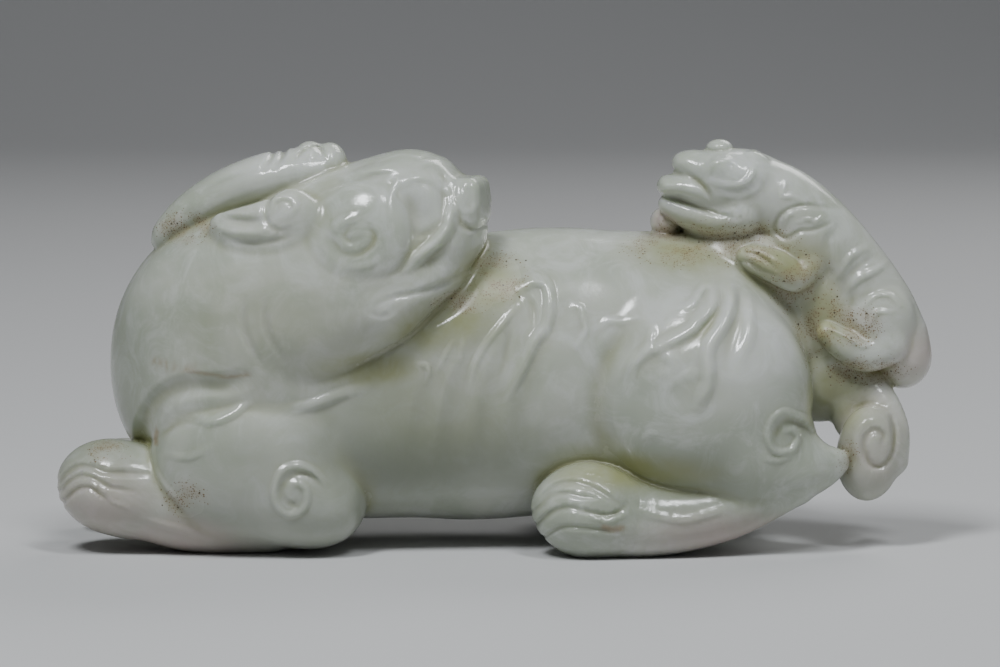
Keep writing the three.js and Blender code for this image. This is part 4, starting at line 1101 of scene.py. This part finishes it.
class JADE_OT_carve(bpy.types.Operator):
    """Carves the blank into the beast and its cub"""

    bl_idname = "jade.carve"
    bl_label = "Carve the beast and cub"

    def execute(self, context):
        stone = bpy.data.objects[PIECE]
        mesh = stone.data
        # The cells of the blank settle, are evened out, and settle again.
        put(mesh, settled(places(mesh), beast, 4))
        applied(stone, "SMOOTH", factor=0.5, iterations=4)
        put(mesh, settled(places(mesh), beast, 3))
        mesh.calc_loop_triangles()
        share = context.scene.beast_sizes.triangles / len(mesh.loop_triangles)
        if share < 1:
            applied(stone, "DECIMATE", ratio=share, use_collapse_triangulate=True)
        points = settled(places(mesh), beast, 3)
        normals = slope(points, beast, 0.1)[1]
        for name, values in stain_and_shade_masks(points, beast).items():
            layer = mesh.attributes.new(name, "FLOAT", "POINT")
            layer.data.foreach_set("value", values.astype(np.float32))
        # The soles are ground flat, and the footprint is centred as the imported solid's is.
        soles = points[:, 2] < 0
        points[soles, 2] = 0
        normals[soles] = [0, 0, -1]
        middle = (points.min(axis=0) + points.max(axis=0)) / 2
        put(mesh, points - [middle[0], middle[1], 0])
        only(stone)
        bpy.ops.object.shade_smooth()
        normals /= np.linalg.norm(normals, axis=1, keepdims=True)
        mesh.normals_split_custom_set_from_vertices(normals.tolist())
        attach(stone, "root")
        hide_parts(NODE)
        return {"FINISHED"}


class JADE_OT_polish(bpy.types.Operator):
    """Stains the stone, paints shade onto it and polishes it"""

    bl_idname = "jade.polish"
    # This step also lays the painted shade.
    bl_label = "Stain and polish the stone"

    def execute(self, context):
        mesh = bpy.data.objects[PIECE].data
        mesh.materials.clear()
        mesh.materials.append(jade_material(context.scene.jade_look))
        return {"FINISHED"}


def aimed(thing, target):
    """Turns a light or camera towards a place."""
    thing.rotation_euler = (Vector(target) - thing.location).to_track_quat("-Z", "Y").to_euler()


def soft_light(name, at, size, colour, watts):
    """A rectangular area light that faces the piece."""
    bpy.ops.object.light_add(type="AREA", location=at)
    light = bpy.context.object
    light.name = name
    light.data.shape = "RECTANGLE"
    light.data.size, light.data.size_y = size
    light.data.energy = watts
    light.data.color = colour
    aimed(light, PIECE_MIDDLE)


class JADE_OT_stage(bpy.types.Operator):
    """Lays the paper, sets the lights and stands the camera at the photograph's angle"""

    bl_idname = "jade.stage"
    bl_label = "Set the stage"

    def execute(self, context):
        look = context.scene.stage_look
        bpy.ops.object.select_all(action="DESELECT")
        bpy.ops.mesh.primitive_plane_add(size=look.width)
        paper = context.object
        paper.name = "studio_paper"
        bpy.ops.object.mode_set(mode="EDIT")
        bpy.ops.mesh.select_mode(type="EDGE")
        bpy.ops.mesh.select_all(action="DESELECT")
        bpy.ops.object.mode_set(mode="OBJECT")
        # The far edge is drawn up into a wall, and the bend is rounded.
        for edge in paper.data.edges:
            edge.select = all(paper.data.vertices[v].co.y > 0 for v in edge.vertices)
        bpy.ops.object.mode_set(mode="EDIT")
        bpy.ops.mesh.extrude_region_move(TRANSFORM_OT_translate={"value": (0, 0, look.width / 2)})
        bpy.ops.object.mode_set(mode="OBJECT")
        applied(paper, "BEVEL", width=look.width / 5, segments=24, limit_method="ANGLE")
        bpy.ops.object.shade_smooth()
        paper.data.materials.append(paper_material(look.paper))

        for name, (at, size, colour) in LIGHTS.items():
            soft_light(name, at, size, colour, getattr(look, name))
        world = context.scene.world or bpy.data.worlds.new("studio")
        context.scene.world = world
        world.use_nodes = True
        background = world.node_tree.nodes["Background"]
        background.inputs["Color"].default_value = AIR_COLOUR
        background.inputs["Strength"].default_value = look.air

        target, rise = Vector(CAMERA_TARGET) * MM, math.radians(CAMERA_RISE)
        back = Vector((0, -math.cos(rise), math.sin(rise))) * CAMERA_DISTANCE
        bpy.ops.object.camera_add(location=target + back)
        camera = context.object
        camera.name = "photograph"
        camera.data.lens = CAMERA_LENS
        camera.data.sensor_width = CAMERA_SENSOR
        camera.data.clip_start = 0.01
        aimed(camera, target)
        context.scene.camera = camera
        return {"FINISHED"}


class JADE_PT_panel(bpy.types.Panel):
    """Lists the steps and their settings"""

    bl_label = "Jade beast"
    bl_idname = "JADE_PT_panel"
    bl_space_type = "VIEW_3D"
    bl_region_type = "UI"
    bl_category = "Jade beast"

    def draw(self, context):
        scene = context.scene
        for title, group, operators in (
            ("Stone", scene.beast_sizes, (JADE_OT_rough_out, JADE_OT_carve)),
            ("Finish", scene.jade_look, (JADE_OT_polish,)),
            ("Stage", scene.stage_look, (JADE_OT_stage,)),
        ):
            box = self.layout.box()
            box.label(text=title)
            for name in group.bl_rna.properties.keys():
                if name not in ("rna_type", "name"):
                    box.prop(group, name)
            for operator in operators:
                box.operator(operator.bl_idname)


SETTINGS = {"beast_sizes": BeastSizes, "jade_look": JadeLook, "stage_look": StageLook}
OPERATORS = (JADE_OT_rough_out, JADE_OT_carve, JADE_OT_polish, JADE_OT_stage)
CLASSES = (*SETTINGS.values(), *OPERATORS, JADE_PT_panel)


def register():
    for cls in CLASSES:
        bpy.utils.register_class(cls)
    for name, group in SETTINGS.items():
        setattr(bpy.types.Scene, name, PointerProperty(type=group))


def unregister():
    for name in SETTINGS:
        delattr(bpy.types.Scene, name)
    for cls in reversed(CLASSES):
        bpy.utils.unregister_class(cls)


def main():
    """Makes the piece and its stage."""
    register()
    bpy.ops.jade.rough_out()
    bpy.ops.jade.carve()
    bpy.ops.jade.polish()
    bpy.ops.jade.stage()


if __name__ == "__main__":
    main()
